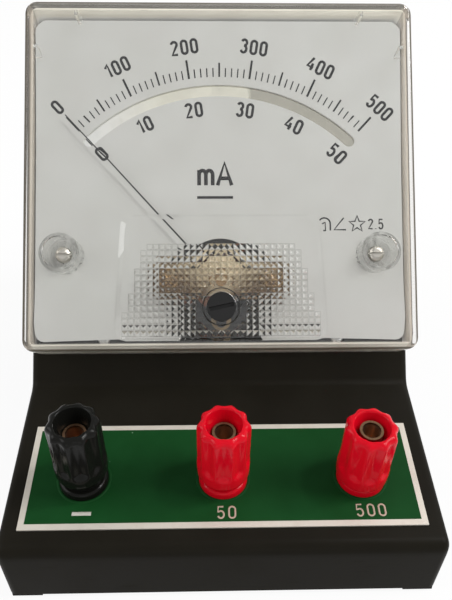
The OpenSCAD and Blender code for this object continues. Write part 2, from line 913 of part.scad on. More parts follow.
// Slotted screw with a cone bearing at its inner end, w from low to high
module jewel_screw(low, high) {
    translate([0, 0, low])
        difference() {
            cylinder(r = jewel_r, h = high - low);
            translate([0, 0, -0.01])
                cylinder(r1 = 0.8, r2 = 0.1, h = 0.9, $fn = 24);
            translate([-jewel_r - over, -0.25, high - low - 0.6])
                cube([2 * (jewel_r + over), 0.5, 1]);
        }
}

jewel_low = 2.7;
jewel_high = 5.9;

module front_jewel_screw() {
    color([0.8, 0.66, 0.4])
        on_face()
            jewel_screw(jewel_low, jewel_high);
}

rear_bridge_w = coil_back - 3.4;
rear_jewel_w = rear_bridge_w + 1.1;
rear_spring_w = rear_bridge_w + 1.7;

// Strip behind the poles with two feet on them
module rear_bridge() {
    color([0.78, 0.6, 0.32])
        on_face()
            difference() {
                union() {
                    translate([-pole_half, -4, rear_bridge_w - bridge_t])
                        cube([2 * pole_half, 8, bridge_t]);
                    mirror_pair()
                        translate([pole_half - 5.4, -4, rear_bridge_w - bridge_t])
                            cube([5.4, 8, pole_back - rear_bridge_w + bridge_t]);
                    // Post for the rear spring's outer end
                    translate([-spring_r - 0.6, -0.6, rear_bridge_w - 0.5])
                        cube([0.5, 1.2, rear_spring_w - rear_bridge_w + spring_h + 0.7]);
                }
                translate([0, 0, rear_bridge_w - bridge_t - over])
                    cylinder(r = jewel_r + fit_gap / 2, h = bridge_t + 2 * over);
            }
}

module rear_bridge_screws() {
    color([0.8, 0.66, 0.4])
        on_face()
            mirror_pair()
                translate([pole_half - 2.7, 0, rear_bridge_w - bridge_t])
                    rotate([180, 0, 0])
                        cylinder(r = 1.7, h = 1);
}

module rear_jewel_screw() {
    color([0.8, 0.66, 0.4])
        on_face()
            mirror([0, 0, 1])
                jewel_screw(-rear_jewel_w, -rear_bridge_w + 3);
}

lever_reach = adjuster_drop + adjuster_throw;
paddle_r = 2.55;
slot_half = pin_r + 0.08;

// Lever on the front jewel screw: a slotted paddle for the pin, and a tail for the spring
module zero_lever() {
    color([0.82, 0.64, 0.34])
        on_face()
            translate([0, 0, lever_w])
                difference() {
                    union() {
                        cylinder(r = 3, h = lever_t);
                        translate([-1.5, -lever_reach, 0])
                            cube([3, lever_reach, lever_t]);
                        translate([0, -lever_reach + 0.5, 0])
                            cylinder(r = paddle_r, h = lever_t);
                        translate([-0.6, 0, 0])
                            cube([1.2, spring_r + 0.6, lever_t]);
                        translate([-0.6, spring_r + 0.1, spring_w - lever_w])
                            cube([1.2, 0.5, lever_w - spring_w + 0.1]);
                    }
                    translate([0, 0, -over])
                        cylinder(r = jewel_r + running_gap, h = lever_t + 2 * over);
                    for (v = [0, 0.7])
                        translate([0, -lever_reach + v, -over])
                            cylinder(r = slot_half, h = lever_t + 2 * over);
                    translate([-slot_half, -lever_reach, -over])
                        cube([2 * slot_half, 0.7, lever_t + 2 * over]);
                }
}

spring_w = 2.15;
spring_h = 0.3;
collet_r = 0.8;
// Radius at which the springs end
spring_r = 6.9;
spring_turns = 4;

// Flat spiral from the collet out to radius r_end
module hairspring(r_end, turns) {
    steps = 20 * turns;
    r_start = collet_r + 0.12;
    half = 0.06;
    function spiral(i, d) = let (a = 360 * turns * i / steps, r = r_start + (r_end - r_start) * i / steps)
        (r + d) * [sin(a), cos(a)];
    linear_extrude(spring_h)
        polygon(concat([for (i = [0:steps]) spiral(i, half)], [for (i = [steps:-1:0]) spiral(i, -half)]));
}

module front_hairspring() {
    color([0.75, 0.5, 0.3])
        on_face()
            translate([0, 0, spring_w])
                hairspring(spring_r, spring_turns);
}

module rear_hairspring() {
    color([0.75, 0.5, 0.3])
        on_face()
            translate([0, 0, rear_spring_w])
                rotate([0, 0, 90])
                    hairspring(spring_r, spring_turns);
}

/* ---------- the moving coil and its pointer ---------- */

pointer_w = 1.5;
pointer_t = 0.16;

// Frame that turns with the pointer; the pointer lies along its +Y
module on_coil() {
    on_face()
        rotate([0, 0, rest_angle])
            children();
}

module pointer() {
    color([0.03, 0.03, 0.03])
        on_coil()
            translate([0, 0, pointer_w])
                difference() {
                    union() {
                        linear_extrude(pointer_t)
                            polygon([[-0.5, 0], [-0.5, 3], [-0.22, 12], [-0.14, pointer_len],
                                [0.14, pointer_len], [0.22, 12], [0.5, 3], [0.5, 0]]);
                        cylinder(r = 1.5, h = pointer_t);
                    }
                    translate([0, 0, -over])
                        cylinder(r = 0.5, h = pointer_t + 2 * over);
                }
}

// Cross of three wires with balance weights
module balance_cross() {
    color([0.7, 0.68, 0.6])
        on_coil()
            translate([0, 0, pointer_w - 0.35]) {
                difference() {
                    union() {
                        cylinder(r = 1.4, h = 0.35);
                        for (a = [90, 180, 270])
                            rotate([0, 0, a])
                                translate([-0.25, 0, 0])
                                    cube([0.5, 6.8, 0.35]);
                    }
                    translate([0, 0, -over])
                        cylinder(r = 0.5, h = 3);
                }
                for (a = [90, 180, 270])
                    rotate([0, 0, a])
                        translate([0, 5, 0.175])
                            rotate([-90, 0, 0])
                                cylinder(r = 0.55, h = 1.6);
            }
}

// Rectangular frame round the core: from inset to inset + t, and coil_width wide
module coil_ring(inset, t, width) {
    front = coil_front - former_t - winding_t + inset;
    back = coil_back + former_t + winding_t - inset;
    half = coil_in + inset;
    translate([-half - t, -width / 2, back - t])
        difference() {
            cube([2 * (half + t), width, front - back + 2 * t]);
            translate([t, -over, t])
                cube([2 * half, width + 2 * over, front - back]);
        }
}

module coil_former() {
    color([0.8, 0.8, 0.8])
        on_coil()
            coil_ring(0, former_t, coil_width);
}

module coil_winding() {
    color([0.72, 0.38, 0.2])
        on_coil()
            coil_ring(former_t, winding_t, coil_width - 0.8);
}

// Staff with a pointed end, from w = low to w = high
module staff(low, high) {
    rotate_extrude($fn = 24)
        polygon([[0, low], [0.5, low], [0.5, high - 0.9], [0.05, high], [0, high]]);
}

module front_pivot() {
    color([0.6, 0.6, 0.62])
        on_coil()
            union() {
                staff(coil_front, jewel_low + 0.75);
                translate([0, 0, coil_front])
                    cylinder(r = 1.6, h = 0.5);
                translate([0, 0, spring_w - 0.2])
                    cylinder(r = collet_r, h = 0.5);
            }
}

module rear_pivot() {
    color([0.6, 0.6, 0.62])
        on_coil()
            mirror([0, 0, 1])
                union() {
                    staff(-coil_back, -rear_jewel_w + 0.75);
                    translate([0, 0, -coil_back])
                        cylinder(r = 1.6, h = 0.5);
                    translate([0, 0, -coil_back + 0.9])
                        cylinder(r = collet_r, h = 0.9);
                }
}

/* ---------- shunt board ---------- */

bobbin_x = 14;
bobbin_len = 16;
bobbin_r = 3.6;
bobbin_core_r = 2;
cheek_t = 1.2;
bobbin_y = board_front + board_d - 6;

module shunt_board() {
    color([0.45, 0.3, 0.15])
        difference() {
            translate([-board_w / 2, board_front, board_z])
                cube([board_w, board_d, board_t]);
            for (x = [-board_x, board_x])
                translate([x, board_y, board_z - over])
                    cylinder(r = bottom_screw_r + fit_gap, h = board_t + 2 * over);
        }
}

module board_screws() {
    color([0.6, 0.6, 0.62])
        for (x = [-board_x, board_x])
            translate([x, board_y, board_z])
                rotate([180, 0, 0])
                    pan_screw(bottom_screw_r, bottom_head_r, 1.6, board_screw_len);
}

module shunt_bobbins() {
    color([0.7, 0.62, 0.45])
        for (x = [-bobbin_x, bobbin_x])
            translate([x - bobbin_len / 2, bobbin_y, board_z + board_t + bobbin_r])
                rotate([0, 90, 0])
                    rotate_extrude()
                        polygon([[0, 0], [bobbin_r, 0], [bobbin_r, cheek_t], [bobbin_core_r, cheek_t],
                            [bobbin_core_r, bobbin_len - cheek_t], [bobbin_r, bobbin_len - cheek_t],
                            [bobbin_r, bobbin_len], [0, bobbin_len]]);
}

module shunt_windings() {
    color([0.6, 0.42, 0.25])
        for (x = [-bobbin_x, bobbin_x])
            translate([x - bobbin_len / 2 + cheek_t, bobbin_y, board_z + board_t + bobbin_r])
                rotate([0, 90, 0])
                    difference() {
                        // The shunt for 50 mA takes more wire
                        cylinder(r = bobbin_r - (x < 0 ? 0.5 : 0.9), h = bobbin_len - 2 * cheek_t);
                        translate([0, 0, -over])
                            cylinder(r = bobbin_core_r, h = bobbin_len + over);
                    }
}

/* ---------- binding posts ---------- */

collar_r = 5.8;
collar_h = 2.2;
collar_round = 0.8;
post_boss_r = 4.7;
post_boss_h = 4.6;
stud_flange_r = 4.2;
stud_flange_h = 0.8;
washer_t = 0.7;
knob_recess_r = 4.9;
insert_r = 4.2;
insert_len = 8;
stud_top = 18.9;
stud_low = -12;
tag_t = 0.5;
nut_h = 2.6;
insulator_h = 1.8;
collar_top = label_t + collar_h;
boss_top = label_t + post_boss_h;
flange_top = boss_top + stud_flange_h;
knob_low = collar_top + seat_gap;
insert_low = flange_top + washer_t + 2 * seat_gap;

module at_post(i) {
    on_deck()
        translate([post_xs[i], post_s, 0])
            children();
}

function post_colour(i) = i == 0 ? [0.05, 0.05, 0.05] : [0.8, 0.03, 0.06];

// Upper insulator: a flange on the label, a boss for the stud's seat, a spigot in the deck
module collar(i) {
    color(post_colour(i))
        at_post(i)
            rotate_extrude()
                polygon(concat([[stud_r + fit_gap / 2, -1], [spigot_r, -1], [spigot_r, label_t],
                    [collar_r, label_t]],
                    [for (a = [0:30:90]) [collar_r - collar_round + collar_round * cos(a),
                        collar_top - collar_round + collar_round * sin(a)]],
                    [[post_boss_r, collar_top], [post_boss_r, boss_top], [stud_r + fit_gap / 2, boss_top]]));
}

module stud(i) {
    color([0.8, 0.62, 0.32])
        at_post(i)
            difference() {
                union() {
                    translate([0, 0, stud_low])
                        cylinder(r = stud_r, h = stud_top - stud_low);
                    translate([0, 0, boss_top])
                        cylinder(r = stud_flange_r, h = stud_flange_h);
                }
                translate([0, 0, stud_top - socket_depth])
                    cylinder(r = socket_r, h = socket_depth + over);
            }
}

module lower_insulators() {
    color([0.1, 0.1, 0.1])
        for (i = [0:2])
            at_post(i)
                rotate_extrude()
                    polygon([[stud_r + fit_gap / 2, -wall - insulator_h], [collar_r, -wall - insulator_h],
                        [collar_r, -wall], [spigot_r, -wall], [spigot_r, -1.1], [stud_r + fit_gap / 2, -1.1]]);
}

module solder_tags() {
    color([0.8, 0.78, 0.7])
        for (i = [0:2])
            at_post(i)
                translate([0, 0, -wall - insulator_h - tag_t])
                    difference() {
                        union() {
                            cylinder(r = 4.4, h = tag_t);
                            translate([-1.6, 0, 0])
                                cube([3.2, 9.5, tag_t]);
                        }
                        translate([0, 0, -over])
                            cylinder(r = stud_r + fit_gap / 2, h = tag_t + 2 * over);
                        translate([0, 7.8, -over])
                            cylinder(r = 0.7, h = tag_t + 2 * over);
                    }
}

module stud_nuts() {
    color([0.8, 0.62, 0.32])
        for (i = [0:2])
            at_post(i)
                translate([0, 0, -wall - insulator_h - tag_t - nut_h])
                    difference() {
                        cylinder(r = 4.6, h = nut_h, $fn = 6);
                        translate([0, 0, -over])
                            cylinder(r = stud_r + fit_gap / 2, h = nut_h + 2 * over);
                    }
}

// Plain washer under the knob's insert; it rises with the knob and doesn't turn
module clamp_washer(i) {
    color([0.75, 0.75, 0.72])
        at_post(i)
            translate([0, 0, flange_top + seat_gap + knob_lifts[i]])
                difference() {
                    cylinder(r = knob_recess_r - 0.3, h = washer_t);
                    translate([0, 0, -over])
                        cylinder(r = stud_r + running_gap, h = washer_t + 2 * over);
                }
}

module knob_insert(i) {
    color([0.8, 0.62, 0.32])
        at_post(i)
            translate([0, 0, insert_low + knob_lifts[i]])
                difference() {
                    cylinder(r = insert_r, h = insert_len);
                    translate([0, 0, -over])
                        cylinder(r = stud_r + running_gap, h = insert_len + 2 * over);
                }
}

groove_r = 1.9;
groove_depth = 0.75;
// The grooves lean outwards, so that they run out above the skirt
groove_lean = 2.7;
knob_round = 1.5;
mouth_r = 3.1;

// Fluted knob: a skirt over the collar's boss, a bore round the stud and a flared mouth
module knob(i) {
    in_low = insert_low - knob_low;
    in_high = in_low + insert_len;
    color(post_colour(i))
        at_post(i)
            translate([0, 0, knob_low + knob_lifts[i]])
                difference() {
                    rotate_extrude($fn = 72)
                        polygon(concat(
                            [[knob_recess_r, 0]],
                            [for (a = [-90:30:0]) [knob_r - 0.8 + 0.7 * cos(a), 0.7 + 0.7 * sin(a)]],
                            [for (a = [0:18:90]) [knob_r - knob_round + knob_round * cos(a),
                                knob_len - knob_round + knob_round * sin(a)]],
                            [for (a = [90:30:180]) [mouth_r + 0.7 + 0.7 * cos(a), knob_len - 0.7 + 0.7 * sin(a)]],
                            [[stud_r + 0.2, knob_len - 4], [stud_r + 0.2, in_high], [insert_r, in_high],
                                [insert_r, in_low], [knob_recess_r, in_low]]));
                    for (k = [0:grooves - 1])
                        rotate([0, 0, 360 / grooves * (k + 0.5)])
                            translate([knob_r + groove_r - groove_depth, 0, knob_len + over])
                                rotate([0, 180 - groove_lean, 0])
                                    cylinder(r = groove_r, h = knob_len);
                }
}

module collar_minus() { collar(0); }

module collar_50() { collar(1); }

module collar_500() { collar(2); }

module stud_minus() { stud(0); }

module stud_50() { stud(1); }

module stud_500() { stud(2); }

module clamp_washer_minus() { clamp_washer(0); }

module clamp_washer_50() { clamp_washer(1); }

module clamp_washer_500() { clamp_washer(2); }

module knob_minus() { knob(0); }

module knob_50() { knob(1); }

module knob_500() { knob(2); }

module knob_insert_minus() { knob_insert(0); }

module knob_insert_50() { knob_insert(1); }

module knob_insert_500() { knob_insert(2); }

housing();
bottom_plate();
bottom_screws();
label_plate();
label_print();
clear_cover();
cover_screws();
zero_adjuster();
dial_plate();
scale_marks();
mirror_strip();
movement_plate();
movement_screws();
magnet();
pole_piece_left();
pole_piece_right();
iron_core();
core_bracket();
bracket_screws();
front_bridge();
bridge_pillars();
bridge_screws();
front_jewel_screw();
rear_bridge();
rear_bridge_screws();
rear_jewel_screw();
zero_lever();
front_hairspring();
rear_hairspring();
pointer();
balance_cross();
coil_former();
coil_winding();
front_pivot();
rear_pivot();
shunt_board();
board_screws();
shunt_bobbins();
shunt_windings();
collar_minus();
collar_50();
collar_500();
stud_minus();
stud_50();
stud_500();
lower_insulators();
stud_nuts();
solder_tags();
clamp_washer_minus();
clamp_washer_50();
clamp_washer_500();
knob_minus();
knob_50();
knob_500();
knob_insert_minus();
knob_insert_50();
knob_insert_500();
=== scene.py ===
"""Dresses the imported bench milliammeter: print, finishes, smooth mouldings, studio and camera."""

from __future__ import annotations

import json
import logging
import math
from dataclasses import dataclass
from enum import Enum
from functools import cached_property
from typing import Any, Iterable, Sequence

import bmesh
import bpy
from mathutils import Matrix, Vector


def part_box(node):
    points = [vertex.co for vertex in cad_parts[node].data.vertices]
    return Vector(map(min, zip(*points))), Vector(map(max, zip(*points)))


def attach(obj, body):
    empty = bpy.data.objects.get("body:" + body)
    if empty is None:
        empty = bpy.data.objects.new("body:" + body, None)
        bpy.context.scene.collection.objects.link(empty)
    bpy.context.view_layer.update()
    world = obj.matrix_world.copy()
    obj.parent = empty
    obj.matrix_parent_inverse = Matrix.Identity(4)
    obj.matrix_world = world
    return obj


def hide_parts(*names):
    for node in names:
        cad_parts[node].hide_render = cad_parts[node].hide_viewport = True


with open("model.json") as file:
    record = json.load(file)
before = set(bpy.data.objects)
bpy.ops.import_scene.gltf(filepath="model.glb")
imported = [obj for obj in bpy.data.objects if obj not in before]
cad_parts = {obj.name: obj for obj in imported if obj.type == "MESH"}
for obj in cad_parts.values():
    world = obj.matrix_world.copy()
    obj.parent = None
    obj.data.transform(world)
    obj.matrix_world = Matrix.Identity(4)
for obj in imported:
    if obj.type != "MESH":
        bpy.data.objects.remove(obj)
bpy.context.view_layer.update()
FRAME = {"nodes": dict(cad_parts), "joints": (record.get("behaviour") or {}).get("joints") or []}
LOG = logging.getLogger("milliammeter")
MM = 0.001
RIGHT = Vector((1.0, 0.0, 0.0))
MIDDLE = Vector((0.0, 0.0, 0.0))

MERGE_M = 2e-6
FLAT_DEGREES = 0.4
TOOL_MARKS_MM = 0.35
TOOL_MARKS_DEPTH_MM = 0.006

Point = tuple[float, float]
Span = tuple[float, float]
Triple = tuple[float, float, float]
Colour = Triple
Path = tuple[list[Point], bool]


# ---------------------------------------------------------------- node trees


class Expr:
    """A node's output on which Python's arithmetic adds Math nodes."""

    def __init__(self, nodes: "Nodes", socket: bpy.types.NodeSocket) -> None:
        """Keeps the tree and the output socket that carries the value."""
        self.nodes = nodes
        self.socket = socket

    def _math(self, operation: str, *values: Any) -> "Expr":
        """Adds one Math node.

        Args:
            operation: The Math node's operation.
            values: Its inputs, numbers or values.

        Returns:
            The node's result.
        """
        return self.nodes.out("ShaderNodeMath", {"operation": operation}, dict(enumerate(values)))

    def __add__(self, other: Any) -> "Expr":
        """self + other."""
        return self._math("ADD", self, other)

    __radd__ = __add__

    def __sub__(self, other: Any) -> "Expr":
        """self - other."""
        return self._math("SUBTRACT", self, other)

    def __rsub__(self, other: Any) -> "Expr":
        """other - self."""
        return self._math("SUBTRACT", other, self)

    def __mul__(self, other: Any) -> "Expr":
        """self * other."""
        return self._math("MULTIPLY", self, other)

    __rmul__ = __mul__

    def size(self) -> "Expr":
        """The value without its sign."""
        return self._math("ABSOLUTE", self)

    def either(self, other: Any) -> "Expr":
        """The larger of self and other."""
        return self._math("MAXIMUM", self, other)

    def step(self, low: float, high: float, start: float = 0.0, end: float = 1.0) -> "Expr":
        """Maps low..high to start..end and clamps it.

        Args:
            low: The value that gives start.
            high: The value that gives end.
            start: The result at low.
            end: The result at high.

        Returns:
            The mapped value.
        """
        return self.nodes.out(
            "ShaderNodeMapRange", {"clamp": True},
            {"Value": self, "From Min": low, "From Max": high, "To Min": start, "To Max": end})


class Nodes:
    """A node tree under construction."""

    def __init__(self, tree: bpy.types.NodeTree) -> None:
        """Keeps the tree and takes out what it holds."""
        self.tree = tree
        self.tree.nodes.clear()

    def node(self, kind: str, settings: dict[str, Any] | None = None,
             inputs: dict[Any, Any] | None = None) -> bpy.types.Node:
        """Adds any node.

        Args:
            kind: The node's type.
            settings: Its properties, set before its sockets.
            inputs: Values or links by socket name or number.

        Returns:
            The node.
        """
        made = self.tree.nodes.new(kind)
        for key, value in (settings or {}).items():
            setattr(made, key, value)
        for key, value in (inputs or {}).items():
            socket = made.inputs[key]
            if isinstance(value, Expr):
                self.tree.links.new(value.socket, socket)
            elif isinstance(value, tuple) and len(value) == 3 and socket.type == "RGBA":
                socket.default_value = (*value, 1.0)
            else:
                socket.default_value = value
        return made

    def out(self, kind: str, settings: dict[str, Any] | None = None,
            inputs: dict[Any, Any] | None = None, output: Any = 0) -> Expr:
        """Adds any node and gives one of its outputs as a value."""
        return Expr(self, self.node(kind, settings, inputs).outputs[output])


class Shader(Nodes):
    """The node tree of a material or of the world."""

    def __init__(self, owner: bpy.types.Material | bpy.types.World) -> None:
        """Starts with no nodes.

        Args:
            owner: The material or the world that the shader belongs to.
        """
        owner.use_nodes = True
        self.owner = owner
        super().__init__(owner.node_tree)

    @cached_property
    def place(self) -> Expr:
        """The object coordinates."""
        return self.out("ShaderNodeTexCoord", output="Object")

    def ray(self, kind: str) -> Expr:
        """1 for rays of a kind, such as Camera, and 0 for others."""
        return self.out("ShaderNodeLightPath", output=f"Is {kind} Ray")

    def stretched(self, scale: Triple) -> Expr:
        """Object coordinates scaled by axis."""
        return self.out("ShaderNodeMapping", None, {"Vector": self.place, "Scale": scale})

    def along(self, direction: Vector, origin: Vector) -> Expr:
        """The distance of a point from a plane, in millimetres.

        Args:
            direction: The plane's normal.
            origin: A point of the plane.

        Returns:
            The distance along the normal.
        """
        arm = self.out("ShaderNodeVectorMath", {"operation": "SUBTRACT"}, {0: self.place, 1: tuple(origin)})
        return self.out("ShaderNodeVectorMath", {"operation": "DOT_PRODUCT"},
                        {0: arm, 1: tuple(direction / MM)}, "Value")

    def noise(self, size_mm: float, detail: float = 3.0, place: Expr | None = None) -> Expr:
        """Smooth noise around 0.5.

        Args:
            size_mm: The size of its patches.
            detail: The number of finer layers.
            place: Coordinates in place of the object's own.

        Returns:
            The noise value.
        """
        return self.out("ShaderNodeTexNoise", None, {
            "Vector": place or self.place, "Scale": 1 / (size_mm * MM), "Detail": detail})

    def specks(self, spacing_mm: float, radius_mm: float) -> Expr:
        """Round specks of uneven size: 1 on a speck and 0 between them.

        Args:
            spacing_mm: The mean distance between specks.
            radius_mm: The largest radius of a speck.

        Returns:
            The mask.
        """
        cells = self.node("ShaderNodeTexVoronoi", {"feature": "F1"}, {
            "Vector": self.place, "Scale": 1 / (spacing_mm * MM)})
        distance = Expr(self, cells.outputs["Distance"])
        pick = self.out("ShaderNodeSeparateColor", None, {"Color": Expr(self, cells.outputs["Color"])})
        reach = pick * pick * (radius_mm / spacing_mm)
        return (reach - distance).step(0.0, 0.25 * radius_mm / spacing_mm)

    def mix(self, share: Any, first: Any, second: Any) -> Expr:
        """Mixes two colours.

        Args:
            share: 0 gives first and 1 gives second.
            first: A colour or a value.
            second: A colour or a value.

        Returns:
            The mixed colour.
        """
        return self.out("ShaderNodeMix", {"data_type": "RGBA"}, {0: share, 6: first, 7: second}, 2)

    def bump(self, height: Expr, depth_mm: float) -> Expr:
        """A normal bent by a height from 0 to 1, where 1 stands for the depth."""
        return self.out("ShaderNodeBump", None, {
            "Height": height, "Distance": depth_mm * MM, "Strength": 1.0})

    def surface(self, **sockets: Any) -> Expr:
        """A Principled shader.

        Args:
            sockets: Its inputs, with _ in place of a space.

        Returns:
            The shader's output.
        """
        return self.out("ShaderNodeBsdfPrincipled", None,
                        {key.replace("_", " "): value for key, value in sockets.items()})

    def blend(self, share: Expr, first: Expr, second: Expr) -> Expr:
        """Mixes two shaders; a share of 1 gives the second."""
        return self.out("ShaderNodeMixShader", None, {0: share, 1: first, 2: second})

    def close(self, surface: Expr, kind: str = "Material") -> Any:
        """Joins a surface to the output, of the kind Material or World, and gives the owner."""
        self.node(f"ShaderNodeOutput{kind}", None, {"Surface": surface})
        return self.owner


def new_shader(name: str) -> Shader:
    """The shader of a new material."""
    return Shader(bpy.data.materials.new(name))


# ---------------------------------------------------------------- finishes


@dataclass(frozen=True)
class Moulding:
    """An opaque moulded plastic with a fine orange peel and, if it is old, dust."""

    name: str
    slot: str
    colour: Colour
    roughness: float = 0.3
    peel_mm: float = 0.9
    peel_depth: float = 0.012
    tint: Colour = (0.02, 0.02, 0.02)
    dust: float = 0.0
    gloss: float = 0.5
    cloud_mm: float = 14.0
    grit: Colour = (0.32, 0.31, 0.28)
    grit_spacing_mm: float = 7.0
    grit_mm: float = 0.3
    scratch_stretch: Triple = (0.08, 1.0, 0.6)

    def material(self) -> bpy.types.Material:
        """Builds the finish.

        Returns:
            The material.
        """
        s = new_shader(self.name)
        cloud = s.noise(self.cloud_mm, 4.0)
        fine = s.noise(self.peel_mm, 2.0)
        base = s.mix(cloud.step(0.3, 0.75, 0.0, 0.55), self.colour, self.tint)
        rough = cloud.step(0.25, 0.8, self.roughness * 0.8, self.roughness * 1.35)
        if self.dust:
            grit = s.specks(self.grit_spacing_mm, self.grit_mm) * self.dust
            base = s.mix(grit, base, self.grit)
            rough = rough + grit * 0.4
        scratches = s.noise(1.0, 5.0, s.stretched(self.scratch_stretch)).step(0.62, 0.72) * 0.12
        normal = s.bump(fine * (1.0 - scratches), self.peel_depth)
        return s.close(s.surface(Base_Color=base, Roughness=rough + scratches, Normal=normal,
                                 Specular_IOR_Level=self.gloss))


@dataclass(frozen=True)
class ClearMoulding:
    """Clear polystyrene: refracting, with a faint flow pattern and light scuffs; its walls carry beige
    painted light, with painted shade on the side walls, a painted dark outline along the outer edge and
    painted dark lines between the window's pyramids.
    """

    name: str
    slot: str
    colour: Colour = (0.97, 0.97, 0.965)
    flow: Colour = (0.93, 0.935, 0.92)
    flow_mm: float = 18.0
    flow_depth: float = 0.02
    scuff_mm: float = 2.2
    scuff_stretch: Triple = (1.0, 0.15, 0.15)
    index: float = 1.49
    in_shadow: Colour = (0.94, 0.94, 0.93)
    # Painted light: a beige diffuse colour on the walls in place of the light seen through them; the side
    # walls get a darker painted shade.
    haze: Colour = (0.96, 0.91, 0.79)
    haze_shade: Colour = (0.55, 0.475, 0.395)
    haze_share: float = 0.66
    wall_mm: float = 1.9
    soft_mm: float = 0.3
    outer_mm: Span = (-0.4, -0.9)
    pane_w: Span = (8.6, 9.4)
    rim_w: Span = (8.4, 9.2)
    back_w: float = -4.5
    front_w: float = 9.9
    draft_mm: float = 1.0
    # Painted shade: the dark colour of the outline along the cover's outer edge.
    rim: Colour = (0.07, 0.058, 0.04)
    rim_mm: float = 0.55
    rim_share: float = 0.88
    # Painted shade: dark lines in the valleys between the window's pyramids.
    valley: Colour = (0.085, 0.08, 0.075)
    valley_w: float = 11.1
    valley_mm: float = 0.09
    valley_share: float = 0.3

    def material(self) -> bpy.types.Material:
        """Builds the finish; shadow rays pass it, so that what lies behind it stays lit.

        Returns:
            The material.
        """
        s = new_shader(self.name)
        face = face_plane()
        flow = s.noise(self.flow_mm, 2.0)
        scuffs = s.noise(self.scuff_mm, 6.0, s.stretched(self.scuff_stretch)).step(0.64, 0.78)
        low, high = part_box("clear_cover")
        out = s.along(face.out, face.origin)
        across = s.along(RIGHT, MIDDLE).size()
        half = (high.x - low.x) / 2 / MM
        reach = [spot.dot(face.up) / MM for spot in spots("clear_cover", face.origin)]
        middle, tall = (max(reach) + min(reach)) / 2, (max(reach) - min(reach)) / 2
        rise = (s.along(face.up, face.origin) - middle).size()
        drift = out.step(self.back_w, self.front_w, 0.0, -self.draft_mm)
        beyond = (across - drift - half).either(rise - drift - tall)
        inner = (-self.wall_mm - self.soft_mm, -self.wall_mm)
        # Mask of the walls' painted light.
        wall = beyond.step(*inner) * beyond.step(*self.outer_mm) * out.step(*self.pane_w, 1.0, 0.2)
        # Painted shade: a dark outline round the cover's outer edge near its front.
        rim = beyond.step(-self.rim_mm - self.soft_mm, -self.rim_mm) * out.step(*self.rim_w)
        # Painted shade along the valleys between the pyramids.
        valley = (out - self.valley_w).size().step(self.valley_mm, self.valley_mm * 0.3)
        glass = s.surface(
            Base_Color=s.mix(flow.step(0.3, 0.7), self.colour, self.flow),
            Roughness=0.012 + scuffs * 0.10, Normal=s.bump(flow, self.flow_depth),
            IOR=self.index, Transmission_Weight=1.0)
        # Painted shade: the side walls are darker than the top wall.
        painted_side_mask = (across - drift - half).step(*inner, 0.0, 0.85)
        painted_light_and_shade = s.mix(painted_side_mask.either(flow.step(0.4, 0.7, 0.0, 0.4)), self.haze, self.haze_shade)
        painted_light_and_shade = s.mix(valley, s.mix(rim, painted_light_and_shade, self.rim), self.valley)
        # Diffuse layer that carries the painted light and shade of the walls, the outer edge and the pyramid
        # valleys.
        painted_light_shader = s.surface(Base_Color=painted_light_and_shade, Roughness=0.35, Specular_IOR_Level=0.15)
        share = (wall * self.haze_share).either(rim * self.rim_share).either(valley * self.valley_share)
        passed = s.out("ShaderNodeBsdfTransparent", None, {"Color": self.in_shadow})
        return s.close(s.blend(s.ray("Shadow").either(s.ray("Diffuse")),
                               s.blend(share, glass, painted_light_shader), passed))


class Grain(Enum):
    """How a metal part was made."""

    TURNED = (1.0, 1.0, 1.0)
    ROLLED = (0.12, 1.0, 1.0)
    CAST = (0.6, 0.6, 0.6)


def worked_metal(s: Shader, base: Expr, marks: Expr, roughness: Span) -> bpy.types.Material:
    """Closes a bare metal whose tool marks bend the light and vary its gloss."""
    return s.close(s.surface(Base_Color=base, Roughness=marks.step(0.25, 0.75, *roughness),
                             Metallic=1.0, Normal=s.bump(marks, TOOL_MARKS_DEPTH_MM)))


@dataclass(frozen=True)
class Metal:
    """A bare or plated metal with tool marks and a little tarnish."""

    name: str
    slot: str
    colour: Colour
    stain: Colour
    roughness: float = 0.28
    grain: Grain = Grain.ROLLED
    metallic: float = 1.0
    stain_mm: float = 3.5

    def material(self) -> bpy.types.Material:
        """Builds the finish.

        Returns:
            The material.
        """
        s = new_shader(self.name)
        marks = s.noise(TOOL_MARKS_MM, 4.0, s.stretched(self.grain.value))
        stain = s.noise(self.stain_mm, 5.0).step(0.48, 0.8)
        base = s.mix(stain * 0.6, self.colour, self.stain)
        rough = marks.step(0.25, 0.75, self.roughness * 0.75, self.roughness * 1.3) + stain * 0.15
        return s.close(s.surface(Base_Color=base, Roughness=rough, Metallic=self.metallic,
                                 Normal=s.bump(marks, TOOL_MARKS_DEPTH_MM)))


@dataclass(frozen=True)
class Bridge:
    """Stamped brass with a painted highlight near the pointer's axis that falls off to a brown painted shade
    towards its ends.
    """

    name: str = "bridge_brass"
    slot: str = "brass"
    colour: Colour = (0.76, 0.64, 0.44)
    # Here stain is the colour of the painted shade towards the ends.
    stain: Colour = (0.13, 0.08, 0.04)
    bright_mm: float = 2.0
    dark_mm: float = 15.0
    bright_v: float = 5.0

    def material(self) -> bpy.types.Material:
        """Builds the finish.

        Returns:
            The material.
        """
        s = new_shader(self.name)
        face = face_plane()
        across = s.along(RIGHT, MIDDLE).size()
        rise = (s.along(face.up, face.origin) - self.bright_v).size()
        marks = s.noise(TOOL_MARKS_MM, 4.0, s.stretched(Grain.ROLLED.value))
        cloud = s.noise(3.0, 4.0).step(0.3, 0.75, -3.0, 3.0)
        # Painted highlight and shade: bright brass near the axis, darkening towards the ends.
        painted_falloff = (across * 0.8 + rise * 1.3 + cloud).step(self.bright_mm, self.dark_mm)
        return worked_metal(s, s.mix(painted_falloff, self.colour, self.stain), marks, (0.24, 0.4))


